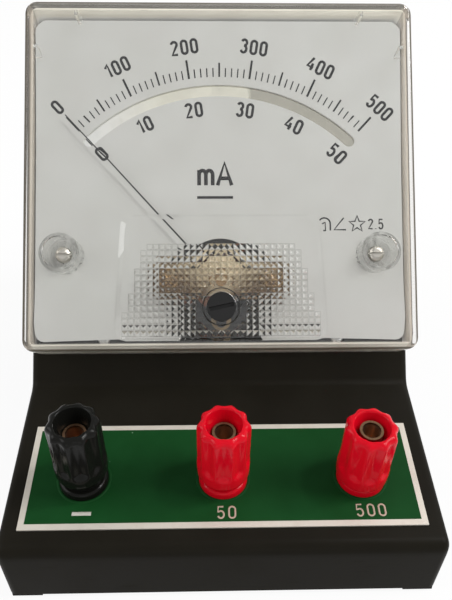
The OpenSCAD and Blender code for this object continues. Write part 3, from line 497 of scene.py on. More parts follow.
@dataclass(frozen=True)
class Socket:
    """Turned brass with a tarnished rim round a bore that the plugs rub clean."""

    name: str
    slot: str
    rim: Colour
    bore: Colour
    rim_mm: float = 0.2
    bore_mm: float = 1.0

    def material(self) -> bpy.types.Material:
        """Builds the finish.

        Returns:
            The material.
        """
        s = new_shader(self.name)
        deck = deck_plane()
        top = max(spot.dot(deck.out) for spot in spots("stud_50", deck.origin)) / MM
        marks = s.noise(TOOL_MARKS_MM, 4.0)
        inward = s.along(deck.out, deck.origin).step(top - self.rim_mm, top - self.bore_mm)
        base = s.mix((inward + marks * 0.3).step(0.1, 1.1), self.rim, self.bore)
        return worked_metal(s, base, marks, (0.26, 0.42))


@dataclass(frozen=True)
class Paint:
    """Enamel or screen print: nearly flat colour, a fine texture and stray dust."""

    name: str
    slot: str
    colour: Colour
    shade: Colour
    roughness: float = 0.45
    dust: float = 0.0
    gloss: float = 0.3
    cloud_mm: float = 9.0
    texture_mm: float = 0.25
    texture_depth: float = 0.004
    lint: Colour = (0.30, 0.42, 0.30)
    lint_spacing_mm: float = 4.5
    lint_mm: float = 0.22

    def material(self) -> bpy.types.Material:
        """Builds the finish.

        Returns:
            The material.
        """
        s = new_shader(self.name)
        cloud = s.noise(self.cloud_mm, 3.0)
        fine = s.noise(self.texture_mm, 2.0)
        base = s.mix(cloud.step(0.3, 0.72), self.colour, self.shade)
        if self.dust:
            base = s.mix(s.specks(self.lint_spacing_mm, self.lint_mm) * self.dust, base, self.lint)
        rough = fine.step(0.2, 0.8, self.roughness * 0.85, self.roughness * 1.15)
        return s.close(s.surface(Base_Color=base, Roughness=rough, Normal=s.bump(fine, self.texture_depth),
                                 Specular_IOR_Level=self.gloss))


@dataclass(frozen=True)
class Looking:
    """The silvered strip behind the dial's slot, with a painted reflection: a bright painted glare at the
    left, paler and yellower in the middle and darker to the right.
    """

    name: str = "silvered_mirror"
    slot: str = "mirror"
    # Painted reflection: glare at the left, a yellower reflection in the middle, a darker dull reflection to
    # the right.
    fresh: Colour = (0.97, 0.97, 0.95)
    aged: Colour = (0.96, 0.93, 0.81)
    dull: Colour = (0.53, 0.51, 0.44)
    fresh_u: Span = (-34.0, -14.0)
    dull_u: Span = (8.2, 9.2)

    def material(self) -> bpy.types.Material:
        """Builds the finish.

        Returns:
            The material.
        """
        s = new_shader(self.name)
        haze = s.noise(4.0, 3.0)
        across = s.along(RIGHT, MIDDLE) + haze * 1.5
        # Painted reflection along the strip, its boundaries blurred by noise, with faint dull patches.
        base = s.mix(across.step(*self.fresh_u), self.fresh, self.aged)
        base = s.mix(across.step(*self.dull_u), base, self.dull)
        return s.close(s.surface(
            Base_Color=s.mix(haze.step(0.35, 0.7, 0.0, 0.2), base, self.dull),
            Roughness=haze.step(0.3, 0.8, 0.03, 0.09), Metallic=1.0))


@dataclass(frozen=True)
class Wound:
    """Enamelled wire, laid turn beside turn."""

    name: str
    slot: str
    colour: Colour
    gap: Colour
    wire_mm: float = 0.22

    def material(self) -> bpy.types.Material:
        """Builds the finish.

        Returns:
            The material.
        """
        s = new_shader(self.name)
        tone = s.noise(0.6, 2.0)
        base = s.mix(tone.step(0.3, 0.7), self.colour, self.gap)
        return s.close(s.surface(Base_Color=base, Roughness=tone.step(0.2, 0.8, 0.22, 0.4),
                                 Metallic=0.35, Normal=s.bump(tone, self.wire_mm * 0.1)))


FINISHES: dict[str, Any] = {f.name: f for f in (
    Moulding("black_console", "black_moulding", (0.0105, 0.0092, 0.0066), 0.4,
             tint=(0.014, 0.0125, 0.0088), dust=0.8, gloss=0.04),
    Moulding("black_bottom", "black_plastic", (0.014, 0.014, 0.014), 0.45, dust=0.3, gloss=0.3),
    Moulding("black_fittings", "black_plastic", (0.008, 0.008, 0.008), 0.3, gloss=0.25),
    Moulding("black_knob_gloss", "black_knob", (0.006, 0.006, 0.005), 0.14,
             tint=(0.010, 0.010, 0.009), dust=0.35, gloss=0.1),
    Moulding("red_knob_gloss", "red_knob", (0.68, 0.0025, 0.014), 0.13,
             tint=(0.56, 0.002, 0.011), gloss=0.12),
    ClearMoulding("clear_styrene", "clear_plastic"),
    Metal("bare_label", "label_metal", (0.60, 0.56, 0.49), (0.50, 0.45, 0.38), 0.5, Grain.ROLLED, 0.35),
    Paint("green_field", "green_print", (0.0072, 0.056, 0.0135), (0.0055, 0.045, 0.010), 0.5, 0.6, 0.05),
    Paint("bare_figures", "label_metal", (0.50, 0.38, 0.30), (0.44, 0.34, 0.26), 0.5),
    Paint("bare_minus", "label_metal", (0.56, 0.55, 0.50), (0.48, 0.46, 0.40), 0.5),
    Paint("dial_enamel", "dial_paint", (0.605, 0.605, 0.585), (0.575, 0.57, 0.55), 0.5),
    Paint("dial_ink", "black_print", (0.010, 0.010, 0.011), (0.015, 0.015, 0.016), 0.55, gloss=0.05),
    Looking(),
    Metal("sheet_brass", "brass", (0.25, 0.18, 0.095), (0.10, 0.062, 0.03), 0.3),
    Metal("turned_brass", "brass", (0.33, 0.21, 0.10), (0.11, 0.062, 0.03), 0.3, Grain.TURNED),
    Bridge(),
    Socket("socket_brass", "brass", (0.15, 0.085, 0.045), (0.74, 0.52, 0.38)),
    Metal("dull_nickel", "nickel", (0.50, 0.48, 0.44), (0.32, 0.30, 0.27), 0.36, Grain.TURNED),
    Metal("zinc_steel", "steel", (0.50, 0.50, 0.51), (0.36, 0.35, 0.33), 0.3, Grain.TURNED),
    Metal("ground_iron", "soft_iron", (0.045, 0.040, 0.036), (0.018, 0.014, 0.012), 0.35),
    Metal("cast_magnet", "magnet_alloy", (0.06, 0.058, 0.056), (0.03, 0.028, 0.027), 0.5, Grain.CAST),
    Metal("thin_aluminium", "aluminium", (0.60, 0.60, 0.60), (0.48, 0.48, 0.48), 0.3),
    Metal("spring_bronze", "spring_bronze", (0.50, 0.30, 0.15), (0.35, 0.20, 0.10), 0.25),
    Wound("coil_copper", "copper_wire", (0.36, 0.12, 0.04), (0.18, 0.055, 0.02)),
    Wound("shunt_manganin", "manganin_wire", (0.28, 0.16, 0.08), (0.12, 0.07, 0.04), 0.4),
    Paint("board_laminate", "board", (0.20, 0.10, 0.04), (0.14, 0.07, 0.03), 0.5),
    Paint("bobbin_fibre", "bobbin", (0.44, 0.34, 0.20), (0.36, 0.27, 0.15), 0.7),
)}

_MADE: dict[str, bpy.types.Material] = {}


def spots(node: str, origin: Vector) -> list[Vector]:
    """The corners of a CAD node's mesh, measured from a point."""
    return [v.co - origin for v in FRAME["nodes"][node].data.vertices]


def finish(name: str) -> bpy.types.Material:
    """Builds a finish once.

    Args:
        name: The finish's name.

    Returns:
        Its material.
    """
    if name not in _MADE:
        _MADE[name] = FINISHES[name].material()
    return _MADE[name]


# ---------------------------------------------------------------- working planes


@dataclass(frozen=True)
class Plane:
    """A flat of the meter with its own axes: u to the right, v up it, w out of it."""

    origin: Vector
    out: Vector

    @property
    def up(self) -> Vector:
        """The plane's v axis."""
        return self.out.cross(RIGHT)

    def at(self, u: float, v: float, w: float) -> Vector:
        """The place of a point given in millimetres."""
        return self.origin + MM * (u * RIGHT + v * self.up + w * self.out)

    def matrix(self, u: float, v: float, w: float, turn: float = 0.0) -> Matrix:
        """The matrix that lays a mesh in millimetres on the plane.

        Args:
            u: The place to the right.
            v: The place up the plane.
            w: The height above it.
            turn: Degrees anticlockwise about w.

        Returns:
            The 4x4 matrix.
        """
        axes = Matrix((RIGHT, self.up, self.out)).transposed().to_4x4()
        return Matrix.Translation(self.at(u, v, w)) @ axes @ Matrix.Rotation(
            math.radians(turn), 4, "Z") @ Matrix.Scale(MM, 4)


def joint(name: str) -> dict[str, Any]:
    """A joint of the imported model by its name."""
    return next(j for j in FRAME["joints"] if j["name"] == name)


def face_plane() -> Plane:
    """The dial's face, with its origin on the pointer's axis."""
    swing = joint("pointer_swing")
    return Plane(Vector(swing["pos_m"]), -Vector(swing["axis"]).normalized())


def deck_plane() -> Plane:
    """Finds the front deck.

    Returns:
        Its plane, with the origin on the axis of the middle post.
    """
    turn = joint("knob_turn_50")
    out = Vector(turn["axis"]).normalized()
    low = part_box("label_plate")[0]
    corner = Vector((0.0, low.y, low.z))
    at = Vector(turn["pos_m"])
    return Plane(at - out * (at - corner).dot(out), out)


# ---------------------------------------------------------------- mesh helpers


def link(name: str, data: bpy.types.ID) -> bpy.types.Object:
    """Makes an object and puts it in the scene.

    Args:
        name: The name of the object and its data.
        data: A mesh, curve, light or camera.

    Returns:
        The object.
    """
    data.name = name
    made = bpy.data.objects.new(name, data)
    bpy.context.scene.collection.objects.link(made)
    return made


def outward(mesh: bpy.types.Mesh) -> None:
    """Turns faces outwards.

    Args:
        mesh: A closed mesh.
    """
    work = bmesh.new()
    work.from_mesh(mesh)
    bmesh.ops.recalc_face_normals(work, faces=work.faces)
    work.to_mesh(mesh)
    work.free()


def smooth_by_angle(mesh: bpy.types.Mesh, degrees: float) -> None:
    """Shades a mesh smooth, apart from its sharp edges.

    Args:
        mesh: The mesh.
        degrees: Faces that meet at more than this keep a sharp edge.
    """
    work = bmesh.new()
    work.from_mesh(mesh)
    for face in work.faces:
        face.smooth = True
    for edge in work.edges:
        edge.smooth = len(edge.link_faces) == 2 and edge.calc_face_angle(0.0) < math.radians(degrees)
    work.to_mesh(mesh)
    work.free()


def merged_copy(node: str, degrees: float = 24.0, clean: bool = False) -> bpy.types.Mesh:
    """A CAD node's mesh with its doubles merged and smooth shading.

    Args:
        node: The CAD node.
        degrees: Faces that meet at more than this stay sharp.
        clean: Whether flat regions are dissolved into single faces.

    Returns:
        A new mesh.
    """
    mesh = FRAME["nodes"][node].data.copy()
    mesh.materials.clear()
    work = bmesh.new()
    work.from_mesh(mesh)
    bmesh.ops.remove_doubles(work, verts=work.verts, dist=MERGE_M)
    if clean:
        bmesh.ops.dissolve_limit(work, angle_limit=math.radians(FLAT_DEGREES), verts=work.verts,
                                 edges=work.edges)
    work.to_mesh(mesh)
    work.free()
    for name in [a.name for a in mesh.attributes if a.name in ("custom_normal", "sharp_face", "sharp_edge")]:
        mesh.attributes.remove(mesh.attributes[name])
    smooth_by_angle(mesh, degrees)
    return mesh


def ride(piece: bpy.types.Object, body: str, coat: str, replaced: Sequence[str] = ()) -> bpy.types.Object:
    """Finishes a piece: its material, its body and the nodes it stands for.

    Args:
        piece: The piece, with its place in its mesh.
        body: The CAD body it moves with.
        coat: The name of its finish.
        replaced: The CAD nodes it stands for.

    Returns:
        The piece.
    """
    piece.data.materials.clear()
    piece.data.materials.append(finish(coat))
    if replaced:
        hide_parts(*replaced)
    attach(piece, body)
    LOG.info("%s rides on %s in %s", piece.name, body, coat)
    return piece


def bevelled(node: str, body: str, coat: str, width_mm: float, degrees: float = 24.0) -> bpy.types.Object:
    """Replaces a CAD node by a copy with its sharp edges rounded.

    Args:
        node: The CAD node.
        body: Its body.
        coat: The name of its finish.
        width_mm: The width of the rounded edges.
        degrees: Edges sharper than this are rounded.

    Returns:
        The new piece.
    """
    piece = link(f"{node}_rounded", merged_copy(node, degrees, clean=True))
    bevel = piece.modifiers.new("edges", "BEVEL")
    bevel.width = width_mm * MM
    bevel.segments = 2
    bevel.limit_method = "ANGLE"
    bevel.angle_limit = math.radians(degrees)
    bevel.harden_normals = True
    return ride(piece, body, coat, [node])


def smoothed(node: str, body: str, coat: str, degrees: float = 24.0) -> bpy.types.Object:
    """Replaces a CAD node by a copy with smooth shading."""
    return ride(link(f"{node}_smooth", merged_copy(node, degrees)), body, coat, [node])


# ---------------------------------------------------------------- printed characters


def arc(centre: Point, radii: Point, start: float, end: float, steps: int = 10) -> list[Point]:
    """Points along an elliptic arc.

    Args:
        centre: The arc's centre.
        radii: Its radii across and up.
        start: The angle of its first point, in degrees anticlockwise from the right.
        end: The angle of its last point.
        steps: The number of its chords.

    Returns:
        The points.
    """
    return [(centre[0] + radii[0] * math.cos(math.radians(start + (end - start) * i / steps)),
             centre[1] + radii[1] * math.sin(math.radians(start + (end - start) * i / steps)))
            for i in range(steps + 1)]


@dataclass(frozen=True)
class StrokeAlphabet:
    """Narrow characters as centre lines, one unit high."""

    width: float = 0.42

    def paths(self, character: str) -> list[Path]:
        """Draws a character.

        Args:
            character: A figure, a letter of the unit, a point or a minus.

        Returns:
            Its centre lines, each with whether it is closed.
        """
        w = self.width
        h = w / 2
        match character:
            case "0":
                return [(arc((h, 1 - h), (h, h), 0, 180) + arc((h, h), (h, h), 180, 360), True)]
            case "1":
                return [([(0.0, 0.76), (w * 0.55, 1.0), (w * 0.55, 0.0)], False)]
            case "2":
                return [(arc((h, 1 - h), (h, h), 170, -28) + [(0.0, 0.0), (w, 0.0)], False)]
            case "3":
                return [(arc((h, 0.77), (h * 0.94, 0.23), 160, -90), False),
                        (arc((h, 0.27), (h, 0.27), 90, -160), False)]
            case "4":
                return [([(w * 0.62, 1.0), (-w * 0.06, 0.26), (w * 1.1, 0.26)], False),
                        ([(w * 0.78, 0.56), (w * 0.78, 0.0)], False)]
            case "5":
                return [([(w * 0.92, 1.0), (w * 0.1, 1.0), (w * 0.04, 0.54)]
                         + arc((h, 0.31), (h, 0.32), 125, -155), False)]
            case "m":
                a = w * 0.72
                return [([(0.0, 0.0), (0.0, 0.68)], False),
                        (arc((a / 2, 0.46), (a / 2, 0.2), 180, 0) + [(a, 0.0)], False),
                        (arc((a * 1.5, 0.46), (a / 2, 0.2), 180, 0) + [(2 * a, 0.0)], False)]
            case "A":
                a = w * 1.5
                return [([(0.0, 0.0), (a / 2, 1.0), (a, 0.0)], False),
                        ([(a * 0.17, 0.31), (a * 0.83, 0.31)], False)]
            case ".":
                return [([(0.0, -0.04), (0.0, 0.04)], False)]
            case "-":
                return [([(0.0, 0.5), (w * 1.6, 0.5)], False)]
        raise ValueError(f"the alphabet has no character {character!r}")

    def advance(self, character: str) -> float:
        """The width of a character's centre lines."""
        wide = {"1": 0.62, "m": 1.44, "A": 1.5, ".": 0.0, "-": 1.6}
        return self.width * wide.get(character, 1.0)


@dataclass(frozen=True)
class Line:
    """A line of characters on a plane, centred on its place; sizes are in millimetres."""

    text: str
    u: float
    v: float
    height: float
    stroke: float
    turn: float = 0.0
    gap: float = 0.5
    alphabet: StrokeAlphabet = StrokeAlphabet()

    def strokes(self) -> list[Path]:
        """Lays the line out and turns it.

        Returns:
            The centre lines of its characters.
        """
        tall = self.height - self.stroke
        widths = [self.alphabet.advance(c) * tall for c in self.text]
        total = sum(widths) + (len(widths) - 1) * (self.gap + self.stroke)
        made: list[Path] = []
        left = -total / 2
        c, s = math.cos(math.radians(self.turn)), math.sin(math.radians(self.turn))
        for character, width in zip(self.text, widths):
            for points, closed in self.alphabet.paths(character):
                laid = [(left + x * tall, (y - 0.5) * tall) for x, y in points]
                made.append(([(self.u + c * x - s * y, self.v + s * x + c * y) for x, y in laid], closed))
            left += width + self.gap + self.stroke
        return made


def node_input(group: bpy.types.NodeTree, name: str) -> str:
    """The identifier of a node group's input socket."""
    return next(item.identifier for item in group.interface.items_tree
                if item.item_type == "SOCKET" and item.in_out == "INPUT" and item.name == name)


def ribbon_tree() -> bpy.types.NodeTree:
    """Geometry nodes that lay a flat ribbon of print along each stroke.

    Returns:
        A node group with the inputs Width, Thickness and Finish.
    """
    group = bpy.data.node_groups.new("printed_strokes", "GeometryNodeTree")
    given = {"Geometry": "NodeSocketGeometry", "Width": "NodeSocketFloat",
             "Thickness": "NodeSocketFloat", "Finish": "NodeSocketMaterial"}
    for name, kind in given.items():
        group.interface.new_socket(name, in_out="INPUT", socket_type=kind)
    group.interface.new_socket("Geometry", in_out="OUTPUT", socket_type="NodeSocketGeometry")
    nodes = Nodes(group)
    start = nodes.node("NodeGroupInput")
    strokes, width, thickness, coat = (Expr(nodes, start.outputs[name]) for name in given)
    section = nodes.out("GeometryNodeCurvePrimitiveQuadrilateral", None, {
        "Width": width, "Height": thickness})
    level = nodes.node("GeometryNodeSetCurveNormal", None, {0: strokes})
    # The node's mode is a property in some versions and a socket in others.
    if hasattr(level, "mode"):
        level.mode = "Z_UP"
    else:
        level.inputs["Mode"].default_value = "Z Up"
    ribbons = nodes.out("GeometryNodeCurveToMesh", None, {
        "Curve": Expr(nodes, level.outputs[0]), "Profile Curve": section, "Fill Caps": True})
    whole = nodes.out("GeometryNodeRealizeInstances", None, {"Geometry": ribbons})
    coated = nodes.out("GeometryNodeSetMaterial", None, {"Geometry": whole, "Material": coat})
    nodes.node("NodeGroupOutput", None, {"Geometry": coated})
    return group


@dataclass
class Printer:
    """Turns strokes into thin raised print on a plane."""

    tree: bpy.types.NodeTree
    thickness: float = 0.03

    def print_strokes(self, name: str, paths: Iterable[Path], stroke: float, plane: Plane,
                      w: float, coat: str) -> bpy.types.Object:
        """Prints strokes of one width.

        Args:
            name: The piece's name.
            paths: Centre lines in the plane, in millimetres.
            stroke: The width of the print.
            plane: The plane it lies on.
            w: The height of the print's middle above the plane.
            coat: The name of the print's finish.

        Returns:
            The piece, still without a body.
        """
        curve = bpy.data.curves.new(name + "_lines", "CURVE")
        curve.dimensions = "3D"
        for points, closed in paths:
            spline = curve.splines.new("POLY")
            spline.points.add(len(points) - 1)
            for target, (x, y) in zip(spline.points, points):
                target.co = (x, y, 0.0, 1.0)
            spline.use_cyclic_u = closed
        lines = link(name + "_lines", curve)
        sweep = lines.modifiers.new("ribbon", "NODES")
        sweep.node_group = self.tree
        for label, value in (("Width", stroke), ("Thickness", self.thickness), ("Finish", finish(coat))):
            sweep[node_input(self.tree, label)] = value
        seen = lines.evaluated_get(bpy.context.evaluated_depsgraph_get())
        mesh = bpy.data.meshes.new_from_object(seen)
        bpy.data.objects.remove(lines)
        mesh.transform(plane.matrix(0.0, 0.0, w))
        outward(mesh)
        return link(name, mesh)


# ---------------------------------------------------------------- sub-assemblies


@dataclass
class Console:
    """The moulded housing and the label on its deck."""

    housing_sharp: float = 28.0
    plate_edge_mm: float = 0.12
    figure_height: float = 3.3
    figure_stroke: float = 0.42
    figure_gap: float = 0.75
    figure_width: float = 0.5
    figures: tuple[tuple[str, float, float], ...] = (("50", 0.6, -9.1), ("500", 34.0, -9.0))
    minus_at: Point = (-32.6, -9.0)
    minus_long: float = 4.4
    minus_thick: float = 0.95
    print_w: float = 0.555
    ring_r: float = 6.05
    ring_wide: float = 0.9

    def build(self, printer: Printer, deck: Plane) -> None:
        """Dresses the nodes and prints the label's figures.

        Args:
            printer: What lays the print.
            deck: The deck's plane.
        """
        smoothed("housing", "case", "black_console", self.housing_sharp)
        bevelled("label_plate", "case", "bare_label", self.plate_edge_mm)
        letters = StrokeAlphabet(self.figure_width)
        strokes = [path for text, u, v in self.figures for path in Line(
            text, u, v, self.figure_height, self.figure_stroke, gap=self.figure_gap,
            alphabet=letters).strokes()]
        middle, v = self.minus_at
        minus = [([(middle - self.minus_long / 2, v), (middle + self.minus_long / 2, v)], False)]
        feet = [Vector(joint(f"knob_turn_{key}")["pos_m"]) - deck.origin for key, _ in Posts.keys]
        rings = [(arc((foot.x / MM, foot.dot(deck.up) / MM), (self.ring_r, self.ring_r), 0, 354, 59), True)
                 for foot in feet]
        for name, paths, stroke, coat in (("label_figures", strokes, self.figure_stroke, "bare_figures"),
                                          ("label_minus", minus, self.minus_thick, "bare_minus"),
                                          ("label_rings", rings, self.ring_wide, "green_field")):
            ride(printer.print_strokes(name, paths, stroke, deck, self.print_w, coat), "case", coat)


@dataclass
class Dial:
    """The dial's numbers, unit and class symbols."""

    sharp_from: float = 30.0
    ring_r: float = 63.8
    inner_r: float = 46.6
    sweep: float = 84.8
    height: float = 4.2
    stroke: float = 0.7
    unit_at: Point = (-1.2, 28.9)
    unit_height: float = 7.0
    unit_stroke: float = 1.0
    unit_gap: float = 0.3
    print_w: float = 0.015
    class_height: float = 2.9
    class_stroke: float = 0.4
    class_gap: float = 0.45
    class_v: float = 15.4
    coil_sign_u: float = 27.9
    slant_u: float = 30.5
    star_u: float = 36.7
    star_tips: int = 5
    star_radii: Span = (2.3, 0.95)
    class_u: float = 41.7

    def numbers(self) -> list[Path]:
        """Draws the two rows of numbers, each turned to face the pointer's axis.

        Returns:
            Their strokes.
        """
        made: list[Path] = []
        for i in range(6):
            angle = self.sweep / 2 - self.sweep * i / 5
            for value, r in ((100 * i, self.ring_r), (10 * i, self.inner_r)):
                turned = math.radians(90 + angle)
                made += Line(str(value), r * math.cos(turned), r * math.sin(turned),
                             self.height, self.stroke, angle).strokes()
        return made

    def symbols(self) -> list[Path]:
        """Draws the moving-coil sign, the slanted-use sign, the star and the class.

        Returns:
            Their strokes.
        """
        v = self.class_v
        u = self.coil_sign_u
        horseshoe = ([(u - 1.6, v - 0.2)] + arc((u, v + 0.1), (1.6, 1.6), 180, 0, 12)
                     + [(u + 1.6, v - 1.7)], False)
        coil = ([(u - 0.6, v + 0.1), (u + 0.2, v + 0.5), (u + 0.3, v - 1.7), (u - 0.3, v - 1.7)], False)
        left = self.slant_u
        slant = ([(left + 2.6, v + 1.7), (left, v - 1.5), (left + 3.2, v - 1.5)], False)
        turns = [math.radians(180 / self.star_tips * k) for k in range(2 * self.star_tips)]
        star = ([(self.star_u + self.star_radii[k % 2] * math.sin(turn),
                  v + self.star_radii[k % 2] * math.cos(turn)) for k, turn in enumerate(turns)], True)
        return [horseshoe, coil, slant, star] + Line(
            "2.5", self.class_u, v, self.class_height, self.class_stroke, gap=self.class_gap).strokes()

    def build(self, printer: Printer, face: Plane) -> None:
        """Dresses the dial and prints it.

        Args:
            printer: What lays the print.
            face: The dial's plane.
        """
        smoothed("dial_plate", "case", "dial_enamel", self.sharp_from)
        for name, strokes, stroke in (
                ("dial_numbers", self.numbers(), self.stroke),
                ("dial_unit", Line("mA", *self.unit_at, self.unit_height, self.unit_stroke,
                                   gap=self.unit_gap).strokes(), self.unit_stroke),
                ("dial_symbols", self.symbols(), self.class_stroke)):
            ride(printer.print_strokes(name, strokes, stroke, face, self.print_w, "dial_ink"),
                 "case", "dial_ink")


@dataclass
class Cover:
    """The clear cover with the small ribs inside its walls, its screws and the zero adjuster."""

    sharp_from: float = 19.0
    screw_sharp: float = 35.0
    adjuster_sharp: float = 30.0
    adjuster_edge_mm: float = 0.15
    rib_u: float = 37.2
    rib_v: float = 60.7
    rib_wide: float = 0.8
    rib_deep: float = 1.7
    rib_reach: Span = (0.6, 7.8)
    wall_mm: float = 2.5

    def ribs(self, face: Plane) -> bpy.types.Object:
        """Makes the ribs: two inside the top wall and one inside each side wall.

        Args:
            face: The dial's plane.

        Returns:
            The ribs in one piece.
        """
        corners = spots("clear_cover", face.origin)
        side = max(corner.x for corner in corners) / MM - self.wall_mm
        top = max(corner.dot(face.up) for corner in corners) / MM - self.wall_mm
        wide, deep = self.rib_wide / 2, self.rib_deep
        plans = [(u - wide, u + wide, top - deep, top) for u in (-self.rib_u, self.rib_u)]
        plans += [(-side, deep - side, self.rib_v - wide, self.rib_v + wide),
                  (side - deep, side, self.rib_v - wide, self.rib_v + wide)]
        work = bmesh.new()
        for left, right, low, high in plans:
            made = bmesh.ops.create_cube(work, size=1.0)["verts"]
            back, front = self.rib_reach
            for vert in made:
                x, y, z = vert.co
                vert.co = (left + (x + 0.5) * (right - left), low + (y + 0.5) * (high - low),
                           back + (z + 0.5) * (front - back))
        mesh = bpy.data.meshes.new("cover_ribs")
        work.to_mesh(mesh)
        work.free()
        mesh.transform(face.matrix(0.0, 0.0, 0.0))
        return link("cover_ribs", mesh)

    def build(self, face: Plane) -> None:
        """Dresses the cover and what goes through it.

        Args:
            face: The dial's plane.
        """
        ride(self.ribs(face), "case", "clear_styrene")
        smoothed("clear_cover", "case", "clear_styrene", self.sharp_from)
        smoothed("cover_screws", "case", "dull_nickel", self.screw_sharp)
        bevelled("zero_adjuster", "zero_adjuster", "black_fittings",
                 self.adjuster_edge_mm, self.adjuster_sharp)


@dataclass
class Knob:
    """One fluted knob: rounded flutes that run out above a smooth skirt, and a flared mouth."""

    radius: float = 6.2
    flutes: int = 10
    flute_depth: float = 0.66
    flute_from: float = 3.2
    flute_full: float = 5.4
    flute_flat: float = 0.8
    top_round: float = 1.7
    skirt_round: float = 0.75
    mouth: float = 4.0
    throat: float = 2.85
    funnel: float = 4.2
    recess: float = 4.9
    recess_deep: float = 3.9
    waist: float = 0.1
    lip: float = 0.55
    crown: float = 0.65
    turns: int = 160
    sharp_from: float = 50.0
    turned: float = 9.0
    turned_more: float = 4.0

    def outline(self, length: float) -> list[Triple]:
        """The knob's section as radius, height and share of the flutes' depth.

        Args:
            length: The knob's length.

        Returns:
            Points from the skirt's inner edge round the outside to the bottom of the throat.
        """
        r, k, t = self.radius, self.skirt_round, self.top_round
        made = [(self.recess, 0.0, 0.0)]
        made += [(r - k + k * math.sin(math.radians(a)), k - k * math.cos(math.radians(a)), 0.0)
                 for a in range(0, 91, 15)]
        steps = 14
        for i in range(steps + 1):
            h = self.flute_from + (self.flute_full - self.flute_from) * i / steps
            x = i / steps
            made.append((r - self.waist * x, h, x * x * (3 - 2 * x)))
        made += [(r - self.waist, self.flute_full + (length - t - self.flute_full) * i / 6, 1.0)
                 for i in range(1, 6)]
        made += [(r - self.waist - t + t * math.cos(math.radians(a)),
                  length - t + t * math.sin(math.radians(a)), 1.0 - self.crown * a / 90)
                 for a in range(0, 91, 9)]
        made += [(self.mouth + self.lip - self.lip * math.sin(math.radians(a)),
                  length - self.lip + self.lip * math.cos(math.radians(a)), 0.0) for a in range(0, 76, 15)]
        made += [(self.throat, length - self.funnel, 0.0), (self.throat, self.recess_deep, 0.0),
                 (self.recess, self.recess_deep, 0.0)]
        return made

    def mesh(self, length: float) -> bpy.types.Mesh:
        """Turns the section round and cuts the flutes.

        Args:
            length: The knob's length.

        Returns:
            The closed mesh, in millimetres from its lower end on the axis.
        """
        section = self.outline(length)
        points, faces = [], []
        n, rows = self.turns, len(section)
        for r, h, share in section:
            for i in range(n):
                angle = 2 * math.pi * i / n
                wave = 0.5 + 0.5 * math.cos(self.flutes * angle)
                reach = r - self.flute_depth * share * wave ** self.flute_flat
                points.append((reach * math.cos(angle), reach * math.sin(angle), h))
        for j in range(rows):
            for i in range(n):
                k, m = (i + 1) % n, (j + 1) % rows
                faces.append((j * n + i, j * n + k, m * n + k, m * n + i))
        mesh = bpy.data.meshes.new("knob")
        mesh.from_pydata(points, [], faces)
        outward(mesh)
        return mesh

    def build(self, key: str, coat: str, deck: Plane) -> bpy.types.Object:
        """Replaces a CAD knob.

        Args:
            key: The post's name.
            coat: The name of the finish.
            deck: The deck's plane.

        Returns:
            The new knob.
        """
        node = f"knob_{key}"
        centre = Vector(joint(f"knob_turn_{key}")["pos_m"])
        heights = [spot.dot(deck.out) / MM for spot in spots(node, deck.origin)]
        low, high = min(heights), max(heights)
        foot = centre - deck.origin
        mesh = self.mesh(high - low)
        turn = self.turned + self.turned_more * len(key)
        mesh.transform(deck.matrix(foot.x / MM, foot.dot(deck.up) / MM, low, turn))
        smooth_by_angle(mesh, self.sharp_from)
        return ride(link(f"{node}_fluted", mesh), node, coat, [node])


@dataclass
class Posts:
    """The three binding posts."""

    keys: tuple[tuple[str, str], ...] = (("minus", "black"), ("50", "red"), ("500", "red"))
    sharp_from: float = 40.0

    def build(self, deck: Plane) -> None:
        """Dresses each post's collar, stud, washer, insert and knob.

        Args:
            deck: The deck's plane.
        """
        for key, colour in self.keys:
            gloss = f"{colour}_knob_gloss"
            for node, body, coat in ((f"collar_{key}", "case", gloss),
                                     (f"stud_{key}", "case", "socket_brass"),
                                     (f"clamp_washer_{key}", f"clamp_washer_{key}", "dull_nickel"),
                                     (f"knob_insert_{key}", f"knob_{key}", "socket_brass")):
                smoothed(node, body, coat, self.sharp_from)
            Knob().build(key, gloss, deck)


@dataclass
class Works:
    """Everything else, whose CAD shape stays and only gets its finish."""

    coats: tuple[tuple[str, str], ...] = (
        ("bottom_plate", "black_bottom"), ("bottom_screws", "zinc_steel"),
        ("label_print", "green_field"), ("scale_marks", "dial_ink"), ("mirror_strip", "silvered_mirror"),
        ("movement_plate", "black_fittings"), ("movement_screws", "zinc_steel"),
        ("magnet", "cast_magnet"), ("pole_piece_left", "ground_iron"), ("pole_piece_right", "ground_iron"),
        ("iron_core", "ground_iron"), ("core_bracket", "sheet_brass"), ("bracket_screws", "turned_brass"),
        ("front_bridge", "bridge_brass"), ("bridge_pillars", "turned_brass"),
        ("bridge_screws", "turned_brass"), ("front_jewel_screw", "turned_brass"),
        ("rear_bridge", "sheet_brass"), ("rear_bridge_screws", "turned_brass"),
        ("rear_jewel_screw", "turned_brass"), ("zero_lever", "sheet_brass"),
        ("front_hairspring", "spring_bronze"), ("rear_hairspring", "spring_bronze"),
        ("pointer", "dial_ink"), ("balance_cross", "thin_aluminium"),
        ("coil_former", "thin_aluminium"), ("coil_winding", "coil_copper"),
        ("front_pivot", "zinc_steel"), ("rear_pivot", "zinc_steel"),
        ("shunt_board", "board_laminate"), ("board_screws", "zinc_steel"),
        ("shunt_bobbins", "bobbin_fibre"), ("shunt_windings", "shunt_manganin"),
        ("lower_insulators", "black_fittings"), ("stud_nuts", "turned_brass"),
        ("solder_tags", "dull_nickel"))

    def build(self) -> None:
        """Gives each node its finish."""
        for node, coat in self.coats:
            mesh = FRAME["nodes"][node].data
            mesh.materials.clear()
            mesh.materials.append(finish(coat))
            LOG.info("%s keeps its CAD shape in %s", node, coat)


# ---------------------------------------------------------------- studio


